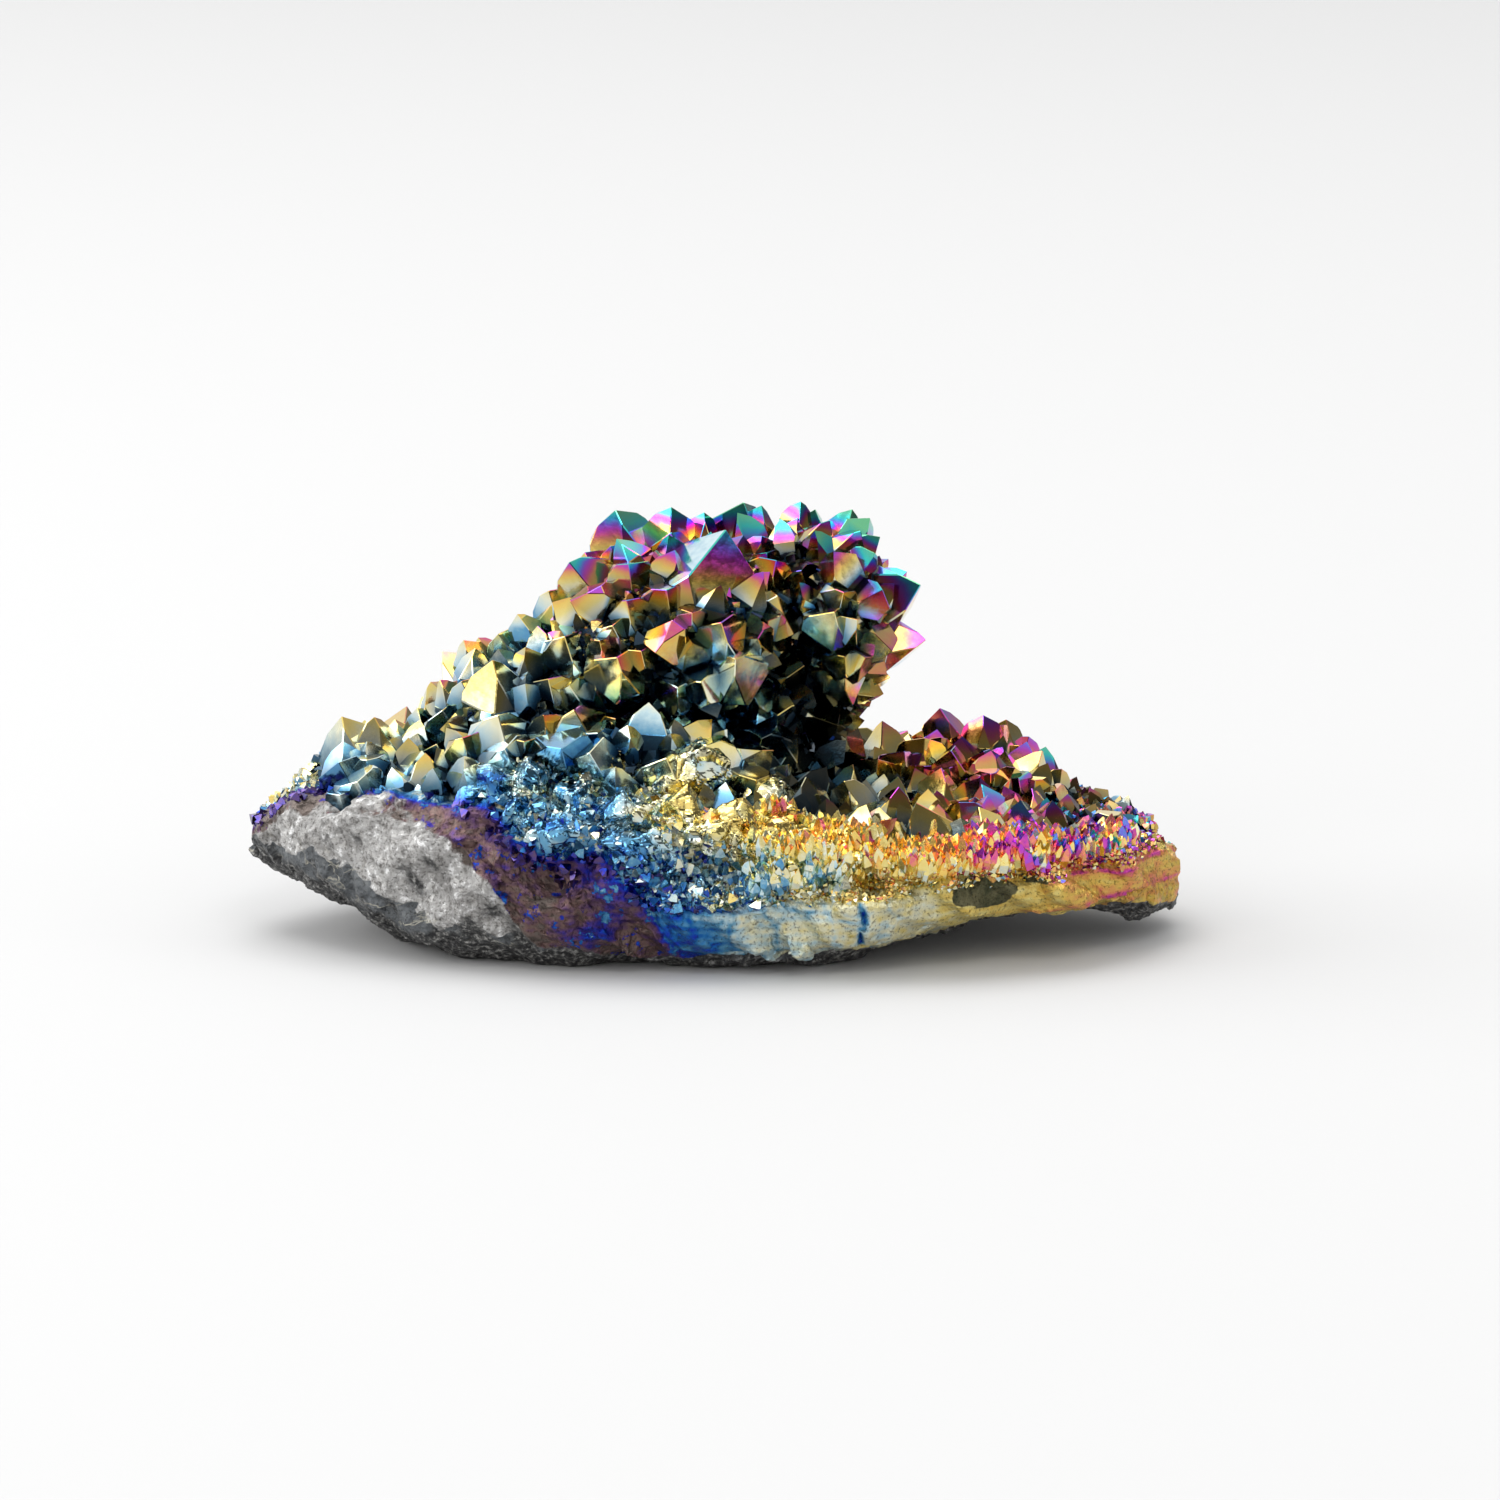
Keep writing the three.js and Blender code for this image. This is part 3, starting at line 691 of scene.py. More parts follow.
# The same for narrower points that stand between them.
NARROW_POINTS = [
    # crown and right end of the lobe
    (-1.5, 63.8, 3, 5, 15, 10),
    (6.6, 64.8, 3.6, 10, 10, 20),
    (14, 64.3, 2.8, 10, 25, 40),
    (14.3, 62, 3, 10, 40, 10),
    (22.2, 57.8, 3.2, 48, 40, 0),
    (26.7, 55.5, 3, 55, 10, 0),
    (24.3, 46, 4, 62, 50, 40),
    (24.4, 40.8, 3.6, 85, 30, 0),
    (23.5, 38.5, 3.2, 95, 20, 0),
    (22.2, 39, 3, 70, 50, 15),
    (21.4, 36.8, 3.6, 85, 40, 30),
    # front of the lobe
    (-18, 58.2, 4, -30, 30, 0),
    (-14.4, 59, 4, -18, 35, 25),
    (6.6, 60.4, 3.2, 12, 40, 0),
    (7.3, 58, 3.6, 10, 50, 20),
    (12, 55.5, 3.6, 10, 60, 30),
    (17.8, 52.4, 3.6, 22, 60, 0),
    (19.7, 48.6, 3.6, 38, 55, 20),
    (-14, 47.8, 3.6, -20, 60, 20),
    (-3, 49.5, 3, 0, 65, 0),
    (7.5, 48.5, 3.6, 10, 70, 0),
    (6, 46, 4, 10, 75, 30),
    (13.6, 44.5, 3, 12, 75, 0),
    (-10, 44.3, 3.2, -10, 65, 10),
    (-15.7, 45.7, 3, -20, 60, 0),
    (18, 43.6, 4, 32, 70, 20),
    (20.8, 43.4, 4, 48, 62, 0),
    # shoulder and lower left
    (-27.4, 49.6, 3.6, -25, 20, 20),
    (-39.6, 40.2, 3.6, -20, 25, 40),
    (-35, 46, 4, -20, 20, 0),
    (-33, 46.4, 3.2, -25, 20, 20),
    (-38.2, 40.4, 4, -30, 20, 0),
    (-38.5, 31.5, 4, -20, 50, 20),
    (-16.4, 40, 4, -10, 60, 0),
    (-26, 31.8, 3.6, -5, 60, 0),
    (-48.6, 31.6, 4, -10, 50, 0),
    (-51.5, 24.5, 4, -20, 60, 0),
    (-13.6, 35, 3.6, 0, 60, 0),
    (-10.9, 35.3, 3.6, 0, 60, 30),
    # hollow below the lobe
    (-7, 38, 4, 0, 55, 30),
    (-4.3, 35.3, 4, 0, 75, 10),
    (8.7, 35.5, 4, 10, 85, 0),
    (6.9, 30.4, 4, 5, 30, 0),
    (10.2, 28.7, 3.6, 20, 30, 20),
    (10.9, 21.8, 3, 0, 60, 0),
    (12.3, 29.3, 2.8, 0, 60, 0),
    # right half of the slab
    (29.2, 33.4, 4, 0, 30, 30),
    (29.2, 28.4, 4, 0, 50, 0),
    (32.7, 28.2, 4, 5, 50, 20),
    (31.8, 32.5, 3.6, 5, 35, 0),
    (37.7, 35.5, 4, 0, 20, 0),
    (35.7, 33, 4, 0, 40, 0),
    (44.3, 32.6, 3.6, 20, 30, 0),
    (42.3, 26.8, 4, 10, 55, 20),
    (44.7, 26.5, 3.6, 10, 55, 0),
    (47.5, 25, 3.2, 10, 55, 30),
    (48.6, 28, 3, 20, 30, 10),
    (35.2, 23.8, 3.6, 10, 50, 20),
    (38.4, 27.3, 3.2, 0, 60, 0),
    (36.3, 26.3, 3, 0, 60, 30),
    (54.9, 21.5, 3, 10, 60, 0),
]

END_FACE_TILT = math.radians(58)  # between a normal of an end face and the long axis
RISE = 0.56  # how far a tip stands out of the crust, in widths
OVERLAP = 1.1
LENGTH = 3.0  # of a whole point down to its buried foot, in half-widths
HABITS = 40
EDGE_WEAR = 0.035  # width of the chipped edges, in half-widths


def part_way(ends, share):
    """The value this share of the way from the first end to the second."""
    return ends[0] + (ends[1] - ends[0]) * share


class Chain:
    """Numbers between 0 and 1 that come out the same every time."""

    FACTOR = 16807
    DIVISOR = 2147483647

    def __init__(self, start):
        self.value = start

    def next(self):
        self.value = self.value * self.FACTOR % self.DIVISOR
        return self.value / self.DIVISOR

    def array(self, *shape):
        count = int(np.prod(shape))
        return np.array([self.next() for _ in range(count)]).reshape(shape)


SAME_PLACE = 1e-4
NEARLY_NOTHING = 1e-6


def convex_faces(planes):
    """Corners and outward faces of the solid within planes (normal, distance)."""
    normals = np.array([n for n, _ in planes], float)
    offsets = np.array([d for _, d in planes], float)
    triples = np.array(list(itertools.combinations(range(len(planes)), 3)))
    rows = normals[triples]
    meets = np.abs(np.linalg.det(rows)) > NEARLY_NOTHING
    spots = np.linalg.solve(rows[meets], offsets[triples[meets]][..., None])[..., 0]
    spots = spots[np.all(spots @ normals.T <= offsets + NEARLY_NOTHING, axis=1)]
    corners = np.unique(np.round(spots, 5), axis=0)
    faces = []
    for normal, offset in zip(normals, offsets):
        on = np.flatnonzero(np.abs(corners @ normal - offset) < SAME_PLACE)
        if len(on) < 3:
            continue
        middle = corners[on].mean(axis=0)
        first = corners[on[0]] - middle
        second = np.cross(normal, first)
        turn = np.arctan2((corners[on] - middle) @ second, (corners[on] - middle) @ first)
        faces.append([int(k) for k in on[np.argsort(turn)]])
    return corners, faces


MAIN_SET_BACK = (0, 0.1)  # of an end face behind the tip, in half-widths
LESSER_SET_BACK = (0.3, 1.0)
MAIN_SHAFT = (1.0, 1.2)  # how far the shaft's faces lie from its middle, in half-widths
LESSER_SHAFT = (1.1, 1.5)
SIDES = 6


def end_face(side, chain, lesser=LESSER_SET_BACK):
    """The way one of the six sides faces, and the plane of the end face above it."""
    turn = math.radians(360 / SIDES * side)
    sideways = np.array([math.cos(turn), math.sin(turn), 0.0])
    set_back = part_way(lesser if side % 2 else MAIN_SET_BACK, chain.next())
    normal = sideways * math.sin(END_FACE_TILT) + (0, 0, math.cos(END_FACE_TILT))
    return sideways, (normal, set_back * math.cos(END_FACE_TILT))


def point_habit(chain, lesser=LESSER_SET_BACK):
    """A whole point of half-width 1 with its tip at the origin."""
    planes = []
    for side in range(SIDES):
        sideways, end = end_face(side, chain, lesser)
        planes.append(end)
        shaft = part_way(LESSER_SHAFT if side % 2 else MAIN_SHAFT, chain.next())
        planes.append((sideways, shaft))
    planes.append((np.array([0.0, 0.0, -1.0]), LENGTH))
    return convex_faces(planes)


def worn(shape, width):
    """The same solid with its edges chipped to narrow flats."""
    corners, faces = shape
    mesh = bmesh.new()
    vertices = [mesh.verts.new(c) for c in corners]
    for face in faces:
        mesh.faces.new([vertices[k] for k in face])
    bmesh.ops.bevel(mesh, geom=mesh.edges[:], offset=width, segments=1, affect="EDGES")
    mesh.verts.index_update()
    worn_corners = np.array([tuple(v.co) for v in mesh.verts])
    worn_faces = [[v.index for v in f.verts] for f in mesh.faces]
    mesh.free()
    return worn_corners, worn_faces


def leaning(lean, toward):
    """The direction that leans so far to the right and towards the front."""
    lean, toward = math.radians(lean), math.radians(toward)
    upright = math.cos(toward)
    return np.array([upright * math.sin(lean), -math.sin(toward), upright * math.cos(lean)])


SEAT_DEPTHS = np.arange(-40, 100, 0.5)  # looked at for the crust, along a line of sight
BACK_CLEAR = 6  # no foot is nearer the slab's back edge than this
OUT_OF_REACH = 99  # millimetres, more than any foot is away from the crust
EDGE_TO_FRONT = 30  # a turn that brings an edge between two end faces to the front


def seated(across, up, width, lean, toward, spin, film=0.0):
    """A point whose tip is at a place in the view and whose foot meets the crust."""
    axis = leaning(lean, toward)
    rise = RISE * OVERLAP * width
    start = FRONT_FOOT + (across, 0, 0) + up * VIEW_UP - rise * axis
    feet = start + SEAT_DEPTHS[:, None] * VIEW_IN
    clear = crust(*feet.T)
    if np.any(clear <= 0):
        seat = foot = np.argmax(clear <= 0)
    else:  # the line of sight misses the crust, and a longer shaft reaches it
        seat = np.argmin(clear)
        clear = clear + OUT_OF_REACH * (feet[:, 1] > along(BACK, feet[:, 0]) - BACK_CLEAR)
        foot = np.argmin(clear)
    hangs = max(clear[foot], 0)
    return {
        "seat": feet[seat],
        "foot": feet[foot] - axis * hangs,
        "axis": axis,
        "width": OVERLAP * width,
        "rise": rise + hangs,
        "spin": spin - EDGE_TO_FRONT,
        "film": film,
    }


def upright_to(axis):
    """The rotation that brings +Z on to a direction."""
    x, y, z = axis
    cross = np.array([[0, 0, x], [0, 0, y], [-x, -y, 0]])
    return np.eye(3) + cross + cross @ cross / (1 + z)


def turned_by(angle):
    """The rotation by an angle about Z."""
    cos, sin = math.cos(math.radians(angle)), math.sin(math.radians(angle))
    return np.array([[cos, -sin, 0], [sin, cos, 0], [0, 0, 1]])


FILM_SOURCE = np.array([0.35, -0.1, 0.93])  # what faced this way took on the most film
FILM_BY_FACING = 0.16
MEAN_FACING = 0.3
FILM_BY_DEPTH = 0.085  # how much thinner the film is for each millimetre below the tip
THINNING_WIDTH = 6.0  # of a point on which it thins that fast; on smaller ones it is faster
THINNING_POWER = 0.35
THINNING_LOW = 0.28  # of that, near the slab, where all of the film is thinner
THINNING_Z = (38, 52)
THINNING_SHARES = (0.4, 1.5)  # of that, from face to face
# It thins down the point, straight down and, differently on each face, at a slant.
DOWN_THE_POINT = 0.4
STRAIGHT_DOWN = 0.6
SKEW = 0.7
THIN_SIDE_FILM = 0.36
THIN_SIDE_FACING = 0.75
FILM_BY_POINT = 0.1  # how much points differ from one another
MORE_VARIED = 1.3  # how much more so at the right end
MORE_VARIED_X = (28, 50)
FILM_BY_FACE = 0.04
THINNED_BY_HAND = -0.06  # points with so much less film may be thinner than the rest
THINNEST = 0.3
FOOT_THINNING = 0.17  # how much thinner it is at the very foot
FOOT_HEIGHT = (1.4, -0.4)  # above the crust
FOOT_SHADE = 0.83  # painted shade: how much darker a point is down at its foot
FOOT_SHADE_HEIGHT = (-1.0, 1.55)  # above the crust


def grown(
    name,
    points,
    shapes,
    chain,
    spread=FILM_BY_POINT,
    foot_shade=FOOT_SHADE,
    facing=FILM_BY_FACING,
    lowest=0.0,
    thinnest=THINNEST,
    foot_thinning=FOOT_THINNING,
):
    """One mesh of many points, with the film's thickness and painted shade at each face's corners.

    At the tips the film isn't thinner than `lowest`, and nowhere thinner than `thinnest`.
    """
    vertices, faces, film, lit, corner_of = [], [], [], [], []
    count = 0
    for i, point in enumerate(points):
        corners, shape_faces = shapes[point.get("shape", i % len(shapes))]
        corners = corners * (1, 1, point.get("stretch", 1.0))
        turned = upright_to(point["axis"]) @ turned_by(point["spin"])
        tip = point["foot"] + point["axis"] * point["rise"]
        placed = tip + point["width"] / 2 * corners @ turned.T
        more_film = point.get("film", 0)
        varied = spread * (1 + MORE_VARIED * smooth(*MORE_VARIED_X, tip[0]))
        base = film_at(*tip) + 2 * varied * (chain.next() - 0.5) + more_film
        base = point.get("base", base)
        rate = FILM_BY_DEPTH * (THINNING_WIDTH / point["width"]) ** THINNING_POWER
        rate *= THINNING_LOW + (1 - THINNING_LOW) * smooth(*THINNING_Z, tip[2])
        rate = point.get("thinning", rate)
        for face in shape_faces:
            a, b, c = placed[face[:3]]
            normal = np.cross(b - a, c - b)
            normal /= np.linalg.norm(normal) + TINY
            value = base + point.get("facing", facing) * (normal @ FILM_SOURCE - MEAN_FACING)
            value += 2 * FILM_BY_FACE * (chain.next() - 0.5)
            value = max(value, lowest if more_film > THINNED_BY_HAND else 0)
            if "thin_side" in point and normal @ point["thin_side"] > THIN_SIDE_FACING:
                film.extend([THIN_SIDE_FILM] * len(face))
            else:
                down = SKEW * (chain.array(3) - 0.5) - DOWN_THE_POINT * point["axis"]
                down = down - (0, 0, STRAIGHT_DOWN)
                share = part_way(THINNING_SHARES, chain.next())
                film.extend(value - share * rate * np.maximum((placed[face] - tip) @ down, 0))
            lit.extend([point.get("shade", 1.0)] * len(face))
            faces.append([k + count for k in face])
            corner_of.extend(faces[-1])
        vertices.append(placed)
        count += len(placed)
    vertices = np.concatenate(vertices)
    height = crust(*vertices.T)[corner_of]
    # Painted shade darkens each point towards the crust, times the point's own painted shade or
    # light.
    tone = 1 - foot_shade * (1 - smooth(*FOOT_SHADE_HEIGHT, height))
    tone *= np.array(lit)
    film = np.array(film) - foot_thinning * smooth(*FOOT_HEIGHT, height)
    return joined_mesh(name, vertices, faces, film=np.clip(film, thinnest, 1), tone=tone)


# The oxide's own glassy surface.
GLAZE_SHARE = 0.25
GLAZE_ROUGHNESS = 0.04
GLAZE_IOR = 1.9


def coat_material(name, mottle, mottle_scale, bump_depth, frosting=0.0):
    """Quartz under an opaque metallic film with a glassy surface."""
    material = bpy.data.materials.new(name)
    material.use_nodes = True
    nodes, links = material.node_tree.nodes, material.node_tree.links
    surface = nodes["Principled BSDF"].inputs
    surface["Metallic"].default_value = 1.0
    surface["Coat Weight"].default_value = GLAZE_SHARE
    surface["Coat Roughness"].default_value = GLAZE_ROUGHNESS
    surface["Coat IOR"].default_value = GLAZE_IOR
    inputs = {"Thickness": attribute(nodes, "film"), "Shade and Tone": attribute(nodes, "tone")}
    inputs.update({"Mottle": mottle, "Mottle Scale": mottle_scale})
    film = add(nodes, "Group", inputs, node_tree=titanium_film).outputs
    links.new(film["Color"], surface["Base Color"])
    links.new(result_of(nodes, "ADD", film["Roughness"], frosting), surface["Roughness"])
    bump = add(nodes, "Bump", {"Strength": 0.25, "Distance": bump_depth, "Height": film["Height"]})
    links.new(bump.outputs["Normal"], surface["Normal"])
    return material


HABIT_START = 4021
THREE_FACED_SET_BACK = (1.2, 1.4)  # of the lesser end faces of a point that hardly has any

habit_chain = Chain(HABIT_START)
habits = [point_habit(habit_chain) for _ in range(HABITS)]
three_faced = point_habit(habit_chain, THREE_FACED_SET_BACK)
worn_habits = [worn(shape, EDGE_WEAR) for shape in habits + [three_faced]]
point_coat = coat_material("coated_quartz_point", 0.06, 700.0, 0.00006)

# The rest of the large points are scattered over the crust between those.
CAST_START = 20117
CAST_SKIPPED = 144  # numbers that come before those of the places
TRIES = 4000
SPACING = 1.02  # of two neighbours' mean width
WIDTHS_IN_FRONT = (6, 7.5)
WIDTHS_BEHIND = (7, 9)
BEHIND_Y = 8
SPREAD = 0.35  # how far they lean any way
RIM = 3  # how far below the slab's top they still stand
BARE_LEFT = -50
BARE_RIGHT = 45
FRONT_MARGIN = 7  # how far in from the slab's edges they stand
LEFT_FRONT_MARGIN = 13
LEFT_FRONT_TO = 16
BACK_MARGIN = 2
SEARCH_LOW = np.array([-66, -38, 10])
SEARCH_HIGH = np.array([66, 42, 56])
NARROWED = 0.8  # their shafts, of what their tips would take
SETTLING_STEPS = 3
ON_CRUST = 0.3


def settled(draws):
    """Places on the crust, one for each row of three numbers between 0 and 1."""
    feet = SEARCH_LOW + (SEARCH_HIGH - SEARCH_LOW) * draws
    for _ in range(SETTLING_STEPS):
        feet = feet - outward(feet) * crust(*feet.T)[:, None]
    return feet, np.abs(crust(*feet.T)) <= ON_CRUST


def scatter(draws, keep, widths, spacing, standing):
    """Points on the crust, none nearer its neighbours than their widths allow."""
    feet, good = settled(draws[:, :3])
    good &= keep(feet)
    strays = 2 * draws[:, 3:6] - 1
    axes = outward(feet) + SPREAD * strays
    axes /= np.linalg.norm(axes, axis=1, keepdims=True)
    sizes = part_way(widths(feet), draws[:, 6])
    taken = np.array([p["seat"] for p in standing])
    taken_widths = np.array([p["width"] for p in standing])
    points = []
    chosen = [values[good] for values in (feet, axes, sizes, draws[:, 7])]
    for foot, axis, width, turn in zip(*chosen):
        gaps = np.linalg.norm(taken - foot, axis=1)
        if np.any(gaps < spacing * (width + taken_widths) / 2):
            continue
        points.append({"foot": foot, "axis": axis, "width": width, "spin": 360 * turn})
        taken = np.vstack([taken, foot])
        taken_widths = np.append(taken_widths, width)
    return points


def bears_points(feet):
    """Where large points stand: on top, not too near the edges of the slab."""
    x, y, z = feet.T
    margin = np.where(x < LEFT_FRONT_TO, LEFT_FRONT_MARGIN, FRONT_MARGIN)
    inside = (x >= BARE_LEFT) & (x <= BARE_RIGHT) & (z >= along(OVER, x) - RIM)
    return inside & (y > along(FRONT, x) + margin) & (y < along(BACK, x) - BACK_MARGIN)


def large_widths(feet):
    behind = (feet[:, 1] > BEHIND_Y)[:, None]
    return np.where(behind, WIDTHS_BEHIND, WIDTHS_IN_FRONT).T


HOLLOW_X, HOLLOW_HALF_WIDTH = 14, 8
HOLLOW_FLOOR = (17, 23)
HOLLOW_ROOF = (52, 42)
# Painted shade in the deep hollow under the lobe.
HOLLOW_SHADE = 0.85
FRONT_ROW_X = (14, 28)
FRONT_ROW_Y = -18


def hollow(point):
    """How much painted shade darkens a point in the deep hollow under the lobe's right half."""
    up = np.dot(point["foot"] - FRONT_FOOT, VIEW_UP)
    within = bump_at(point["foot"][0], HOLLOW_X, HOLLOW_HALF_WIDTH)
    return HOLLOW_SHADE * within * smooth(*HOLLOW_FLOOR, up) * smooth(*HOLLOW_ROOF, up)


def in_front_row(point):
    """Whether it stands at the front edge, right of the middle, where little light falls."""
    return FRONT_ROW_X[0] < point["foot"][0] < FRONT_ROW_X[1] and point["foot"][1] < FRONT_ROW_Y


# Some large points change once the others have found their places between them. Here are
# the one at the crown, the widths of the slim ones, and the film at the tips of those that
# stand clear of the rest, by their numbers in the list.
CROWN_POINT = (1.6, 61.1, 9.5, 20, 10, -25)
CROWN_THIN_SIDE = np.array([-0.64, -0.1, 0.76])
CROWN_THINNING = 0.025
SLIM_POINTS = {52: 7, 53: 6, 63: 4}
# Painted light: a shade over 1 brightens the points that stand clear of the rest.
CLEAR_AND_BRIGHTENED_LOOK = {"thinning": 0.015, "facing": 0.05, "shade": 1.2}
TIP_FILM = {25: 0.54, 32: 0.46, 46: 0.44, 47: 0.46, 48: 0.43, 49: 0.41}
TIP_FILM.update({50: 0.4, 51: 0.39, 52: 0.46, 53: 0.48, 54: 0.53, 55: 0.49})
SHOULDER_POINT = 25
SHOULDER_SPIN = -20
# Painted shade that darkens the shoulder point.
SHOULDER_SHADE = 0.62
# Painted shade towards the left end and in the front row.
LEFT_SHADE = 0.74
LEFT_SHADE_X = (-46, -32)
FRONT_ROW_FILM = 0.05
FRONT_ROW_SHADE = 0.55
SLIM_FROM_X = 40
SLIMMED = 0.7
LARGE_LOWEST = 0.41

cast_chain = Chain(CAST_START)
cast_chain.array(CAST_SKIPPED)
large = [seated(*row) for row in LARGE_POINTS]
cast = scatter(cast_chain.array(TRIES, 8), bears_points, large_widths, SPACING, large)
large[0] = seated(*CROWN_POINT)
large[0].update(shape=HABITS, film=0.0, thinning=CROWN_THINNING, thin_side=CROWN_THIN_SIDE)
for number, width in SLIM_POINTS.items():
    large[number]["rise"] *= width * OVERLAP / large[number]["width"]
    large[number]["width"] = width * OVERLAP
for number, base in TIP_FILM.items():
    large[number].update(base=base, **CLEAR_AND_BRIGHTENED_LOOK)
large[SHOULDER_POINT].update(spin=SHOULDER_SPIN, shade=SHOULDER_SHADE)
for point in cast:
    point["rise"] = RISE * point["width"]
    point["width"] *= NARROWED
    # Painted shade in the hollow, towards the left end and in the front row.
    point["shade"] = 1 - hollow(point)
    point["shade"] *= LEFT_SHADE + (1 - LEFT_SHADE) * smooth(*LEFT_SHADE_X, point["foot"][0])
    if in_front_row(point):
        point["film"] = FRONT_ROW_FILM
        point["shade"] *= FRONT_ROW_SHADE
    if point["foot"][0] > SLIM_FROM_X:
        point["width"] *= SLIMMED
        point["rise"] *= SLIMMED
big_points = large + cast + [seated(*row) for row in NARROW_POINTS]
quartz_points = grown("quartz_points", big_points, worn_habits, Chain(77), lowest=LARGE_LOWEST)
quartz_points.data.materials.append(point_coat)
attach(quartz_points, "root")
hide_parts(CLUSTER)

# ---------------------------------------------------------------------------
# Small quartz points. They grew in the gaps between the large ones, and thin out towards
# the broken rims. They are quartz on the same crust under the same film.
# ---------------------------------------------------------------------------

FOOT_STRAY = 0.5  # of a step of the rock's mesh, so that their feet don't stand in rows
TO_THE_OPEN = np.array([0.0, -0.25, 1.0])
MOSTLY_SMALL = 1.5  # over 1, more of them are small than large


def sown(seed, chance, standing, tries, widths, spacing, stray, lift=0.3, rise=RISE, bed=shaped):
    """Points whose feet are spread over the rock's surface, where `chance` lets them grow.

    They keep clear of the points in `standing`. They lean any way by `stray`, and towards
    the open by `lift`.
    """
    random = np.random.default_rng(seed)
    order = random.permutation(len(shaped))
    order = order[random.random(len(order)) < chance[order]][:tries]
    feet = bed[order] + FOOT_STRAY * ROCK_STEP * (random.random((len(order), 3)) - 0.5)
    axes = normals[order] + stray * (2 * random.random((len(order), 3)) - 1)
    axes += lift * TO_THE_OPEN
    axes /= np.linalg.norm(axes, axis=1, keepdims=True)
    sizes = part_way(widths, random.random(len(order)) ** MOSTLY_SMALL)
    turns = 360 * random.random(len(order))
    taken = np.array([p["foot"] for p in standing]).reshape(-1, 3)
    taken = np.vstack([taken, np.zeros((len(order), 3))])
    taken_widths = np.array([p["width"] for p in standing] + [0.0] * len(order))
    count = len(standing)
    points = []
    for foot, axis, width, turn in zip(feet, axes, sizes, turns):
        gaps = np.abs(taken[:count] - foot).max(axis=1)
        if np.any(gaps < spacing * (width + taken_widths[:count]) / 2):
            continue
        taken[count] = foot
        taken_widths[count] = width
        count += 1
        point = {"foot": foot, "axis": axis, "width": width, "spin": turn, "rise": rise * width}
        # Points in the hollow under the lobe get painted shade.
        point["shade"] = 1 - hollow(point)
        points.append(point)
    return points


SMALL_LOWEST = 0.39
# Painted shade darkens the middling and small points, which stand in the gaps.
MIDDLING_SHADE = 0.85
MIDDLING_FRONT_ROW_SHADE = 0.5
MIDDLING_FILM = -0.02
SMALL_SHADE = 0.62
SMALL_FILM = -0.05

left_side = smooth(LEFT_FRONT_TO + 6, LEFT_FRONT_TO - 2, x)
front_margin = FRONT_MARGIN - 2.5 + 5 * left_side
on_top = smooth(-RIM - 1, -RIM + 1, z - along(OVER, x))
on_top *= (y > along(FRONT, x) + front_margin) * (y < along(BACK, x) - 1)
on_top *= (x > -56) * (x < 58)
in_field = on_top * (x > -52) * (x < 46)
middling = sown(
    908, in_field, big_points, 9000, (3.4, 5.4), spacing=0.74, stray=0.3, rise=0.62, bed=places
)
for point in middling:
    point["shade"] *= MIDDLING_FRONT_ROW_SHADE if in_front_row(point) else MIDDLING_SHADE
    point["film"] = MIDDLING_FILM
big_points = big_points + middling
small = sown(909, on_top, big_points, 9000, (1.7, 3.2), spacing=0.72, stray=0.45, rise=0.7)
for point in small:
    point["shade"] *= SMALL_SHADE
    point["film"] = SMALL_FILM
small_points = grown(
    "small_quartz_points", middling + small, habits, Chain(78), lowest=SMALL_LOWEST
)
small_points.data.materials.append(point_coat)
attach(small_points, "root")
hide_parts(CLUSTER)

# ---------------------------------------------------------------------------
# Broken quartz. Where the front of the cluster was knocked off, the crust shows large
# broken lumps of quartz, their faces split into fine ridges and plated like the rest.
# ---------------------------------------------------------------------------

# Of each: across and up in the same view as the points' tips, and width.
BROKEN_LUMPS = [
    (-0.6, 28.6, 7.5),
    (-6, 26.6, 7),
    (6.8, 24.6, 7),
    (-3.4, 22.6, 6.5),
    (2.6, 21.8, 6),
    (9, 20, 6),
    (-10, 21.6, 5),
    (-29.9, 26, 7),
    (-24.6, 26.8, 6.5),
    (-19.6, 24.4, 6.5),
    (-33.6, 24.4, 5.5),
    (-13.4, 22.6, 6),
    (-27.5, 21.8, 6),
    (-21.4, 19.8, 6),
    (-13.6, 18.2, 5.5),
    (-8.6, 17.4, 5),
    (-3, 18.6, 3.6),
    (3, 19, 3.4),
    (7.6, 18.4, 4.2),
    (12, 19.2, 3.6),
    (15.4, 17.4, 3.2),
    (18.6, 18.6, 3),
]
LUMP_CUTS = 11
LUMP_FACES_AT = (0.55, 1.0)  # how far the cuts lie from a lump's middle, in half-widths
LUMP_STEP = 0.33
LUMP_FIELD_LOW = (-42, -38, 9)
LUMP_FIELD_HIGH = (24, -8, 34)
LUMP_KEPT_OUTSIDE = -0.5  # of the crust
RIDGE_SIZE = 3.6
FINE_RIDGE_SIZE = 1.5
RIDGE_HEIGHT = 0.5
FINE_RIDGE_HEIGHT = 0.07
CREASE_WIDTH = 0.13  # in sizes of the ridges
CREASE_DEPTH = 0.12
FINE_CREASES = 0.25
FAR_OFF = 9.0


def in_view(across, up):
    """The place on the crust that a line of sight meets."""
    line = FRONT_FOOT + (across, 0, 0) + up * VIEW_UP + SEAT_DEPTHS[:, None] * VIEW_IN
    inside = np.flatnonzero(crust(*line.T) <= 0)
    return line[inside[0]]


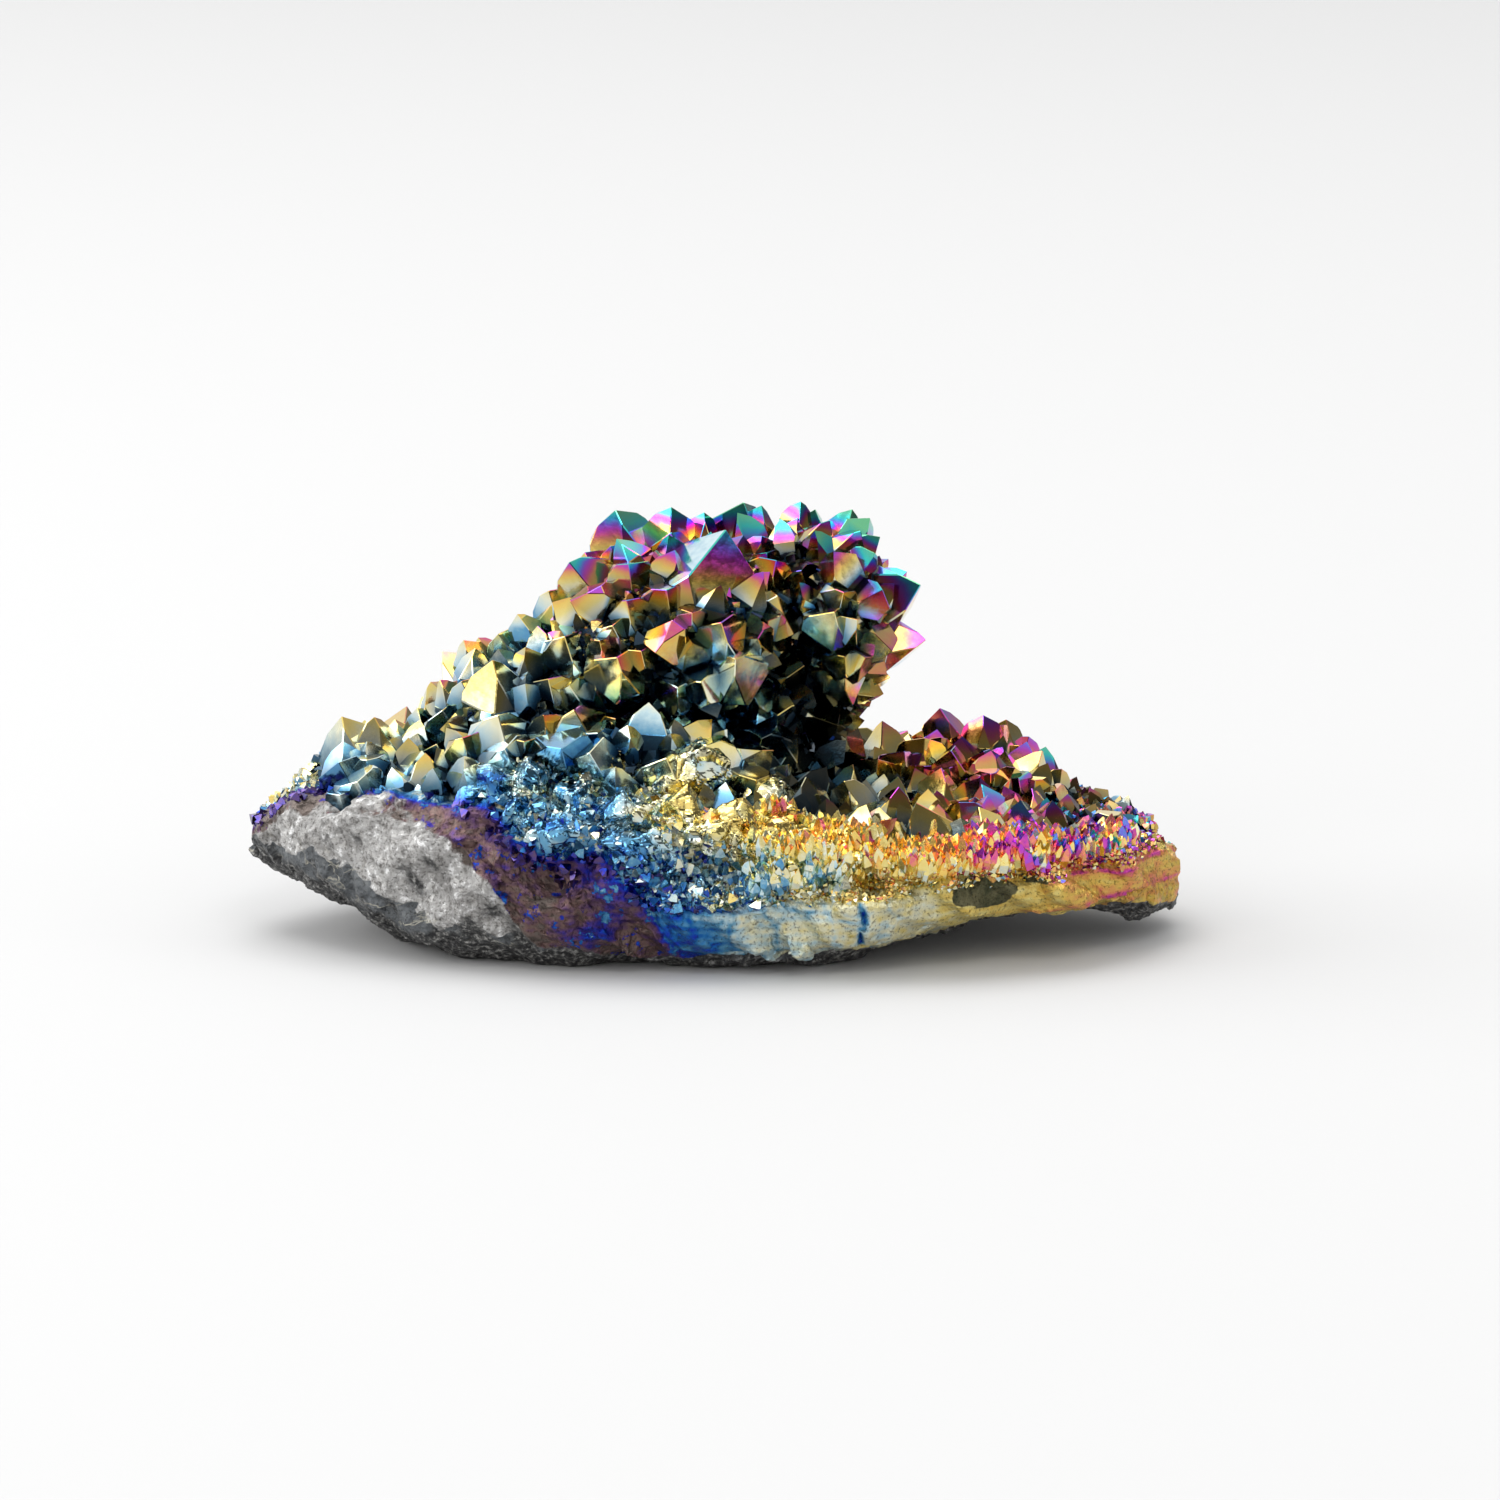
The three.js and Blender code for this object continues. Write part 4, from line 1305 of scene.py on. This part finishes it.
def broken_lump(random, centre, width):
    """Planes of a lump broken to flat faces, most of them facing out of the crust."""
    out = outward(centre[None])[0]
    planes = []
    for _ in range(LUMP_CUTS):
        normal = random.normal(size=3)
        normal /= np.linalg.norm(normal)
        if normal @ out < -0.2:
            normal = -normal
        planes.append((normal, width / 2 * part_way(LUMP_FACES_AT, random.random())))
    # Square cuts all round it, turned at random too, close it.
    first = planes[0][0]
    second = np.cross(first, planes[1][0])
    second /= np.linalg.norm(second)
    for normal in (first, second, np.cross(first, second)):
        planes.append((normal, width / 2))
        planes.append((-normal, width / 2))
    return planes


def creases(places, size, seed):
    """1 where the chips of `facets` meet, and 0 away from there."""
    gaps = []
    for place in places:
        nearest = noise.voronoi(chip_place(place, size, seed))[0]
        gaps.append(nearest[1] - nearest[0])
    return np.clip(1 - np.array(gaps) / CREASE_WIDTH, 0, 1)


lump_random = np.random.default_rng(5150)
lumps = []
for across, up, width in BROKEN_LUMPS:
    centre = in_view(across, up)
    lumps.append((centre, width, broken_lump(lump_random, centre, width)))
over_foot = z - np.interp(x, FOOT_X, FOOT_TOP)
splinter_chance = smooth(-38, -32, x) * (x < 20) * (y < -12) * (behind < 13) * (over_foot > 4)
splinters = sown(61, splinter_chance, [], 330, (1.6, 3.6), spacing=0.5, stray=0.3)
for splinter in splinters:
    centre, width = splinter["foot"], splinter["width"]
    lumps.append((centre, width, broken_lump(lump_random, centre, width)))


def lump_field(x, y, z):
    """Roughly the distance from the nearest lump's surface, at a grid of places."""
    field = np.full(x.shape, FAR_OFF)
    lines = (x[:, 0, 0], y[0, :, 0], z[0, 0, :])
    for centre, width, planes in lumps:
        ends = [np.searchsorted(line, (c - width, c + width)) for line, c in zip(lines, centre)]
        box = tuple(slice(*pair) for pair in ends)
        away = np.full(x[box].shape, -FAR_OFF)
        for normal, distance in planes:
            ahead = normal[0] * (x[box] - centre[0]) + normal[1] * (y[box] - centre[1])
            ahead += normal[2] * (z[box] - centre[2])
            away = np.maximum(away, ahead - distance)
        field[box] = np.minimum(field[box], away)
    return np.maximum(field, LUMP_KEPT_OUTSIDE - crust(x, y, z))


lump_places, lump_quads = surface_net(lump_field, LUMP_FIELD_LOW, LUMP_FIELD_HIGH, LUMP_STEP)
ridges = facets(lump_places, RIDGE_SIZE, 1.9)
fine_ridges = facets(lump_places, FINE_RIDGE_SIZE, 6.3)
fine_creases = creases(lump_places, FINE_RIDGE_SIZE, 6.3)
creased = np.maximum(creases(lump_places, RIDGE_SIZE, 1.9), FINE_CREASES * fine_creases)
lump_relief = RIDGE_HEIGHT * ridges + FINE_RIDGE_HEIGHT * fine_ridges - CREASE_DEPTH * creased
lump_shaped = lump_places + outward(lump_places) * lump_relief[:, None]
lump_film = film_at(*lump_places.T) + 0.08 * ridges + 0.015 * fine_ridges
lump_film = np.clip(lump_film + 0.05 * clouds(lump_places, 3.5, 7, 3), 0.14, 1)
# Painted shade: the lumps darken where they sink into the crust and in their creases.
lump_tone = 1.05 - 0.5 * smooth(0.1, -0.5, crust(*lump_shaped.T))
lump_tone *= 1 - 0.6 * creased
broken_quartz = joined_mesh(
    "broken_quartz", lump_shaped, lump_quads, film=lump_film, tone=lump_tone
)
broken_quartz.data.materials.append(coat_material("coated_broken_quartz", 0.05, 700.0, 0.00015))
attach(broken_quartz, "root")
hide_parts(CLUSTER)

# ---------------------------------------------------------------------------
# Druse. A rind of quartz grains about a millimetre across on the front face, on both ends,
# round the back and deep between the points, plated like the rest.
# ---------------------------------------------------------------------------

GRAIN_LENGTH = 1.3  # in half-widths
# Painted light: the columns and rows of grains are brightened, more so towards the right.
GRAIN_SHADE = 1.2
GRAIN_THINNING = 0.01
COLUMN_STRETCH = 1.5
DEEP_IN_HOLLOW = 0.3
# Grains deep in the hollow get a thin blue film and are brightened with painted light, as glints.
HOLLOW_GLINT_LOOK = {"base": 0.21, "shade": 1.3}
DRUSE_FILM = {"facing": 0.14, "thinnest": 0.14, "foot_thinning": 0}


def grain_habit(chain):
    """The end of a point alone, down to its buried foot."""
    ends = [end_face(side, chain)[1] for side in range(SIDES)]
    return convex_faces([(np.array([0.0, 0.0, -1.0]), GRAIN_LENGTH)] + ends)


grain_chain = Chain(606)
grain_habits = [grain_habit(grain_chain) for _ in range(HABITS)]

# Where each kind of grain grows: columns and rows above the agate, loose grains to their
# left, a fine cover on both ends and the back, and more deep between the points.
over_band = z - band_top
over_bare = z - np.interp(x, BARE_X, BARE_TOP)
face_zone = smooth(-0.2, 0.6, over_band) * smooth(8, 5, behind - 4 * left_side) * (y < 0)
columns_zone = face_zone * smooth(2, 10, x) * smooth(62, 54, x) * smooth(1.8, 3.2, over_band)
rows_zone = face_zone * smooth(-9, -6, x) * smooth(62, 58, x) * smooth(4.2, 3.2, over_band)
glitter_zone = face_zone * smooth(-36, -28, x) * smooth(12, 4, x)
glitter_zone *= np.where(past_edge > 0, 1, 0.5 * smooth(-3, 1, over_foot))
end_zone = smooth(44, 50, np.abs(x)) * (over_bare > 0.8)
back_zone = (y > 0) * (over_bare > 3) * (1 - among)
cover_zone = np.maximum(end_zone, back_zone) * (1 - columns_zone) * (1 - rows_zone)
cover_zone *= 1 - (x > 30) * (y < 2) * (over_band < 0)
crevices = among * (crust(*shaped.T) > -2) * 0.6

all_points = big_points + small
columns = sown(
    11, columns_zone, all_points, 8000, (0.6, 1.5), spacing=0.42, stray=0.25, lift=2.0, rise=1.7
)
rows = sown(15, rows_zone, [], 7000, (0.45, 0.9), spacing=0.42, stray=0.5, lift=0.6, rise=0.8)
glitter = sown(
    12, glitter_zone, all_points, 1800, (0.9, 2.1), spacing=0.45, stray=0.6, lift=0.2
)
fine_cover = sown(13, cover_zone, all_points, 5200, (0.8, 1.6), spacing=0.5, stray=0.5)
deep_grains = sown(14, crevices, all_points, 2600, (0.9, 1.8), spacing=0.5, stray=0.6)
for grain in columns + rows:
    grain["thinning"] = GRAIN_THINNING
    grain["shade"] = GRAIN_SHADE + 0.15 * smooth(25, 40, grain["foot"][0])
for grain in columns:
    grain["stretch"] = COLUMN_STRETCH
    grain["film"] = 0.03 * smooth(14, 22, grain["foot"][0])
for grain in rows:
    grain["film"] = 0.05 * smooth(-12, -7, grain["foot"][0]) * smooth(30, 22, grain["foot"][0])
for grain in deep_grains:
    if hollow(grain) > DEEP_IN_HOLLOW:
        grain.update(HOLLOW_GLINT_LOOK)
druse_coat = coat_material("coated_druse", 0.12, 1500.0, 0.0001, 0.12)
# The last number of each is the painted shade at the grains' feet.
for name, grains, shapes, spread, foot_shade in (
    ("druse_columns", columns, habits, 0.085, 0.1),
    ("druse", rows + glitter + fine_cover + deep_grains, grain_habits, 0.07, 0.2),
):
    druse = grown(name, grains, shapes, Chain(80), spread, foot_shade, **DRUSE_FILM)
    druse.data.materials.append(druse_coat)
    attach(druse, "root")
    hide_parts(CLUSTER)

# ---------------------------------------------------------------------------
# Floor, lights and camera. A sheet of white paper, softboxes that the crystals' faces
# mirror, a white room round them that is dark in those mirror images near the horizon, and
# a long lens. Sizes are in metres.
# ---------------------------------------------------------------------------

FLOOR_SIZE = 14.0
FRAME_WIDTH = 0.209  # of what the camera takes in at the middle of the cluster
LENS = 240.0
SENSOR = 36.0
MIDDLE = (0.0, 0.0, 0.03)
AIM_ACROSS, AIM_UP, AIM_IN = 4.95, 30.7, 26  # from the front foot, in millimetres
PAPER_GREY = (0.54, 0.54, 0.54, 1.0)
BRIGHT_ABOVE = (-0.36, 0.34, 0.87)  # the way to the brightest part of the mirrored room
DOME_FROM, DOME_TO = 0.1, 0.72
DOME_LOW, DOME_HIGH = 0.15, 1.3
PLAIN_ROOM = 0.92

bpy.ops.mesh.primitive_plane_add(size=FLOOR_SIZE)
floor = bpy.context.object
floor.name = "floor"
paper = bpy.data.materials.new("white_paper")
paper.use_nodes = True
paper_surface = paper.node_tree.nodes["Principled BSDF"]
paper_surface.inputs["Base Color"].default_value = PAPER_GREY
paper_surface.inputs["Roughness"].default_value = 0.8
paper_surface.inputs["Specular IOR Level"].default_value = 0.1
floor.data.materials.append(paper)


def softbox(name, place, size, brightness, mirrored=True):
    """A rectangle of even light aimed at the cluster, unseen by the camera itself."""
    light = bpy.data.lights.new(name, "AREA")
    light.shape = "RECTANGLE"
    light.size, light.size_y = size
    light.energy = brightness * math.pi * size[0] * size[1]
    lamp = bpy.data.objects.new(name, light)
    bpy.context.collection.objects.link(lamp)
    lamp.location = place
    lamp.rotation_euler = (Vector(MIDDLE) - Vector(place)).to_track_quat("-Z", "Y").to_euler()
    lamp.visible_camera = False
    lamp.visible_glossy = mirrored


# Of each: place, size and brightness.
softbox("overhead", (-0.3, 0.4, 1.7), (1.6, 1.2), 3.0)
softbox("left_side", (-1.7, 0.3, 0.8), (1.9, 1.2), 3.1)
softbox("right_side", (1.7, -0.5, 0.8), (0.7, 0.9), 1.1)
softbox("left_front", (-1.5, -1.8, 1.2), (0.7, 0.9), 3.4)
softbox("front_top", (0.5, -1.6, 1.8), (0.9, 0.5), 5.2)
softbox("front_fill", (0.2, -2.6, 1.0), (3.0, 1.6), 1.0, mirrored=False)

# The room is white to the eye and to matt surfaces. In mirror images it is dark near the
# horizon and bright overhead.
world = bpy.data.worlds.new("studio")
bpy.context.scene.world = world
world.use_nodes = True
nodes, links = world.node_tree.nodes, world.node_tree.links
sky = nodes["Background"]
sky.inputs["Color"].default_value = (1.0, 1.0, 1.0, 1.0)
direction = add(nodes, "TexCoord").outputs["Generated"]
height = add(nodes, "VectorMath", {0: direction, 1: BRIGHT_ABOVE}, operation="DOT_PRODUCT")
dome_range = {"Value": height.outputs["Value"], "From Min": DOME_FROM, "From Max": DOME_TO}
dome_range.update({"To Min": DOME_LOW, "To Max": DOME_HIGH})
dome = add(nodes, "MapRange", dome_range, interpolation_type="SMOOTHSTEP").outputs["Result"]
in_mirrors = add(nodes, "LightPath").outputs["Is Glossy Ray"]
room = add(nodes, "Mix", {"Factor": in_mirrors, "A": PLAIN_ROOM, "B": dome})
links.new(room.outputs["Result"], sky.inputs["Strength"])

camera_data = bpy.data.cameras.new("camera")
camera_data.lens = LENS
camera_data.sensor_width = SENSOR
camera = bpy.data.objects.new("camera", camera_data)
bpy.context.collection.objects.link(camera)
target = FRONT_FOOT + (AIM_ACROSS, -MIDDLE_Y, 0) + AIM_UP * VIEW_UP + AIM_IN * VIEW_IN
distance = FRAME_WIDTH * LENS / SENSOR
camera.location = target * MM - VIEW_IN * distance
camera.rotation_euler = (math.radians(90) - VIEW_TILT, 0, 0)
bpy.context.scene.camera = camera
bpy.context.scene.view_settings.view_transform = "Standard"

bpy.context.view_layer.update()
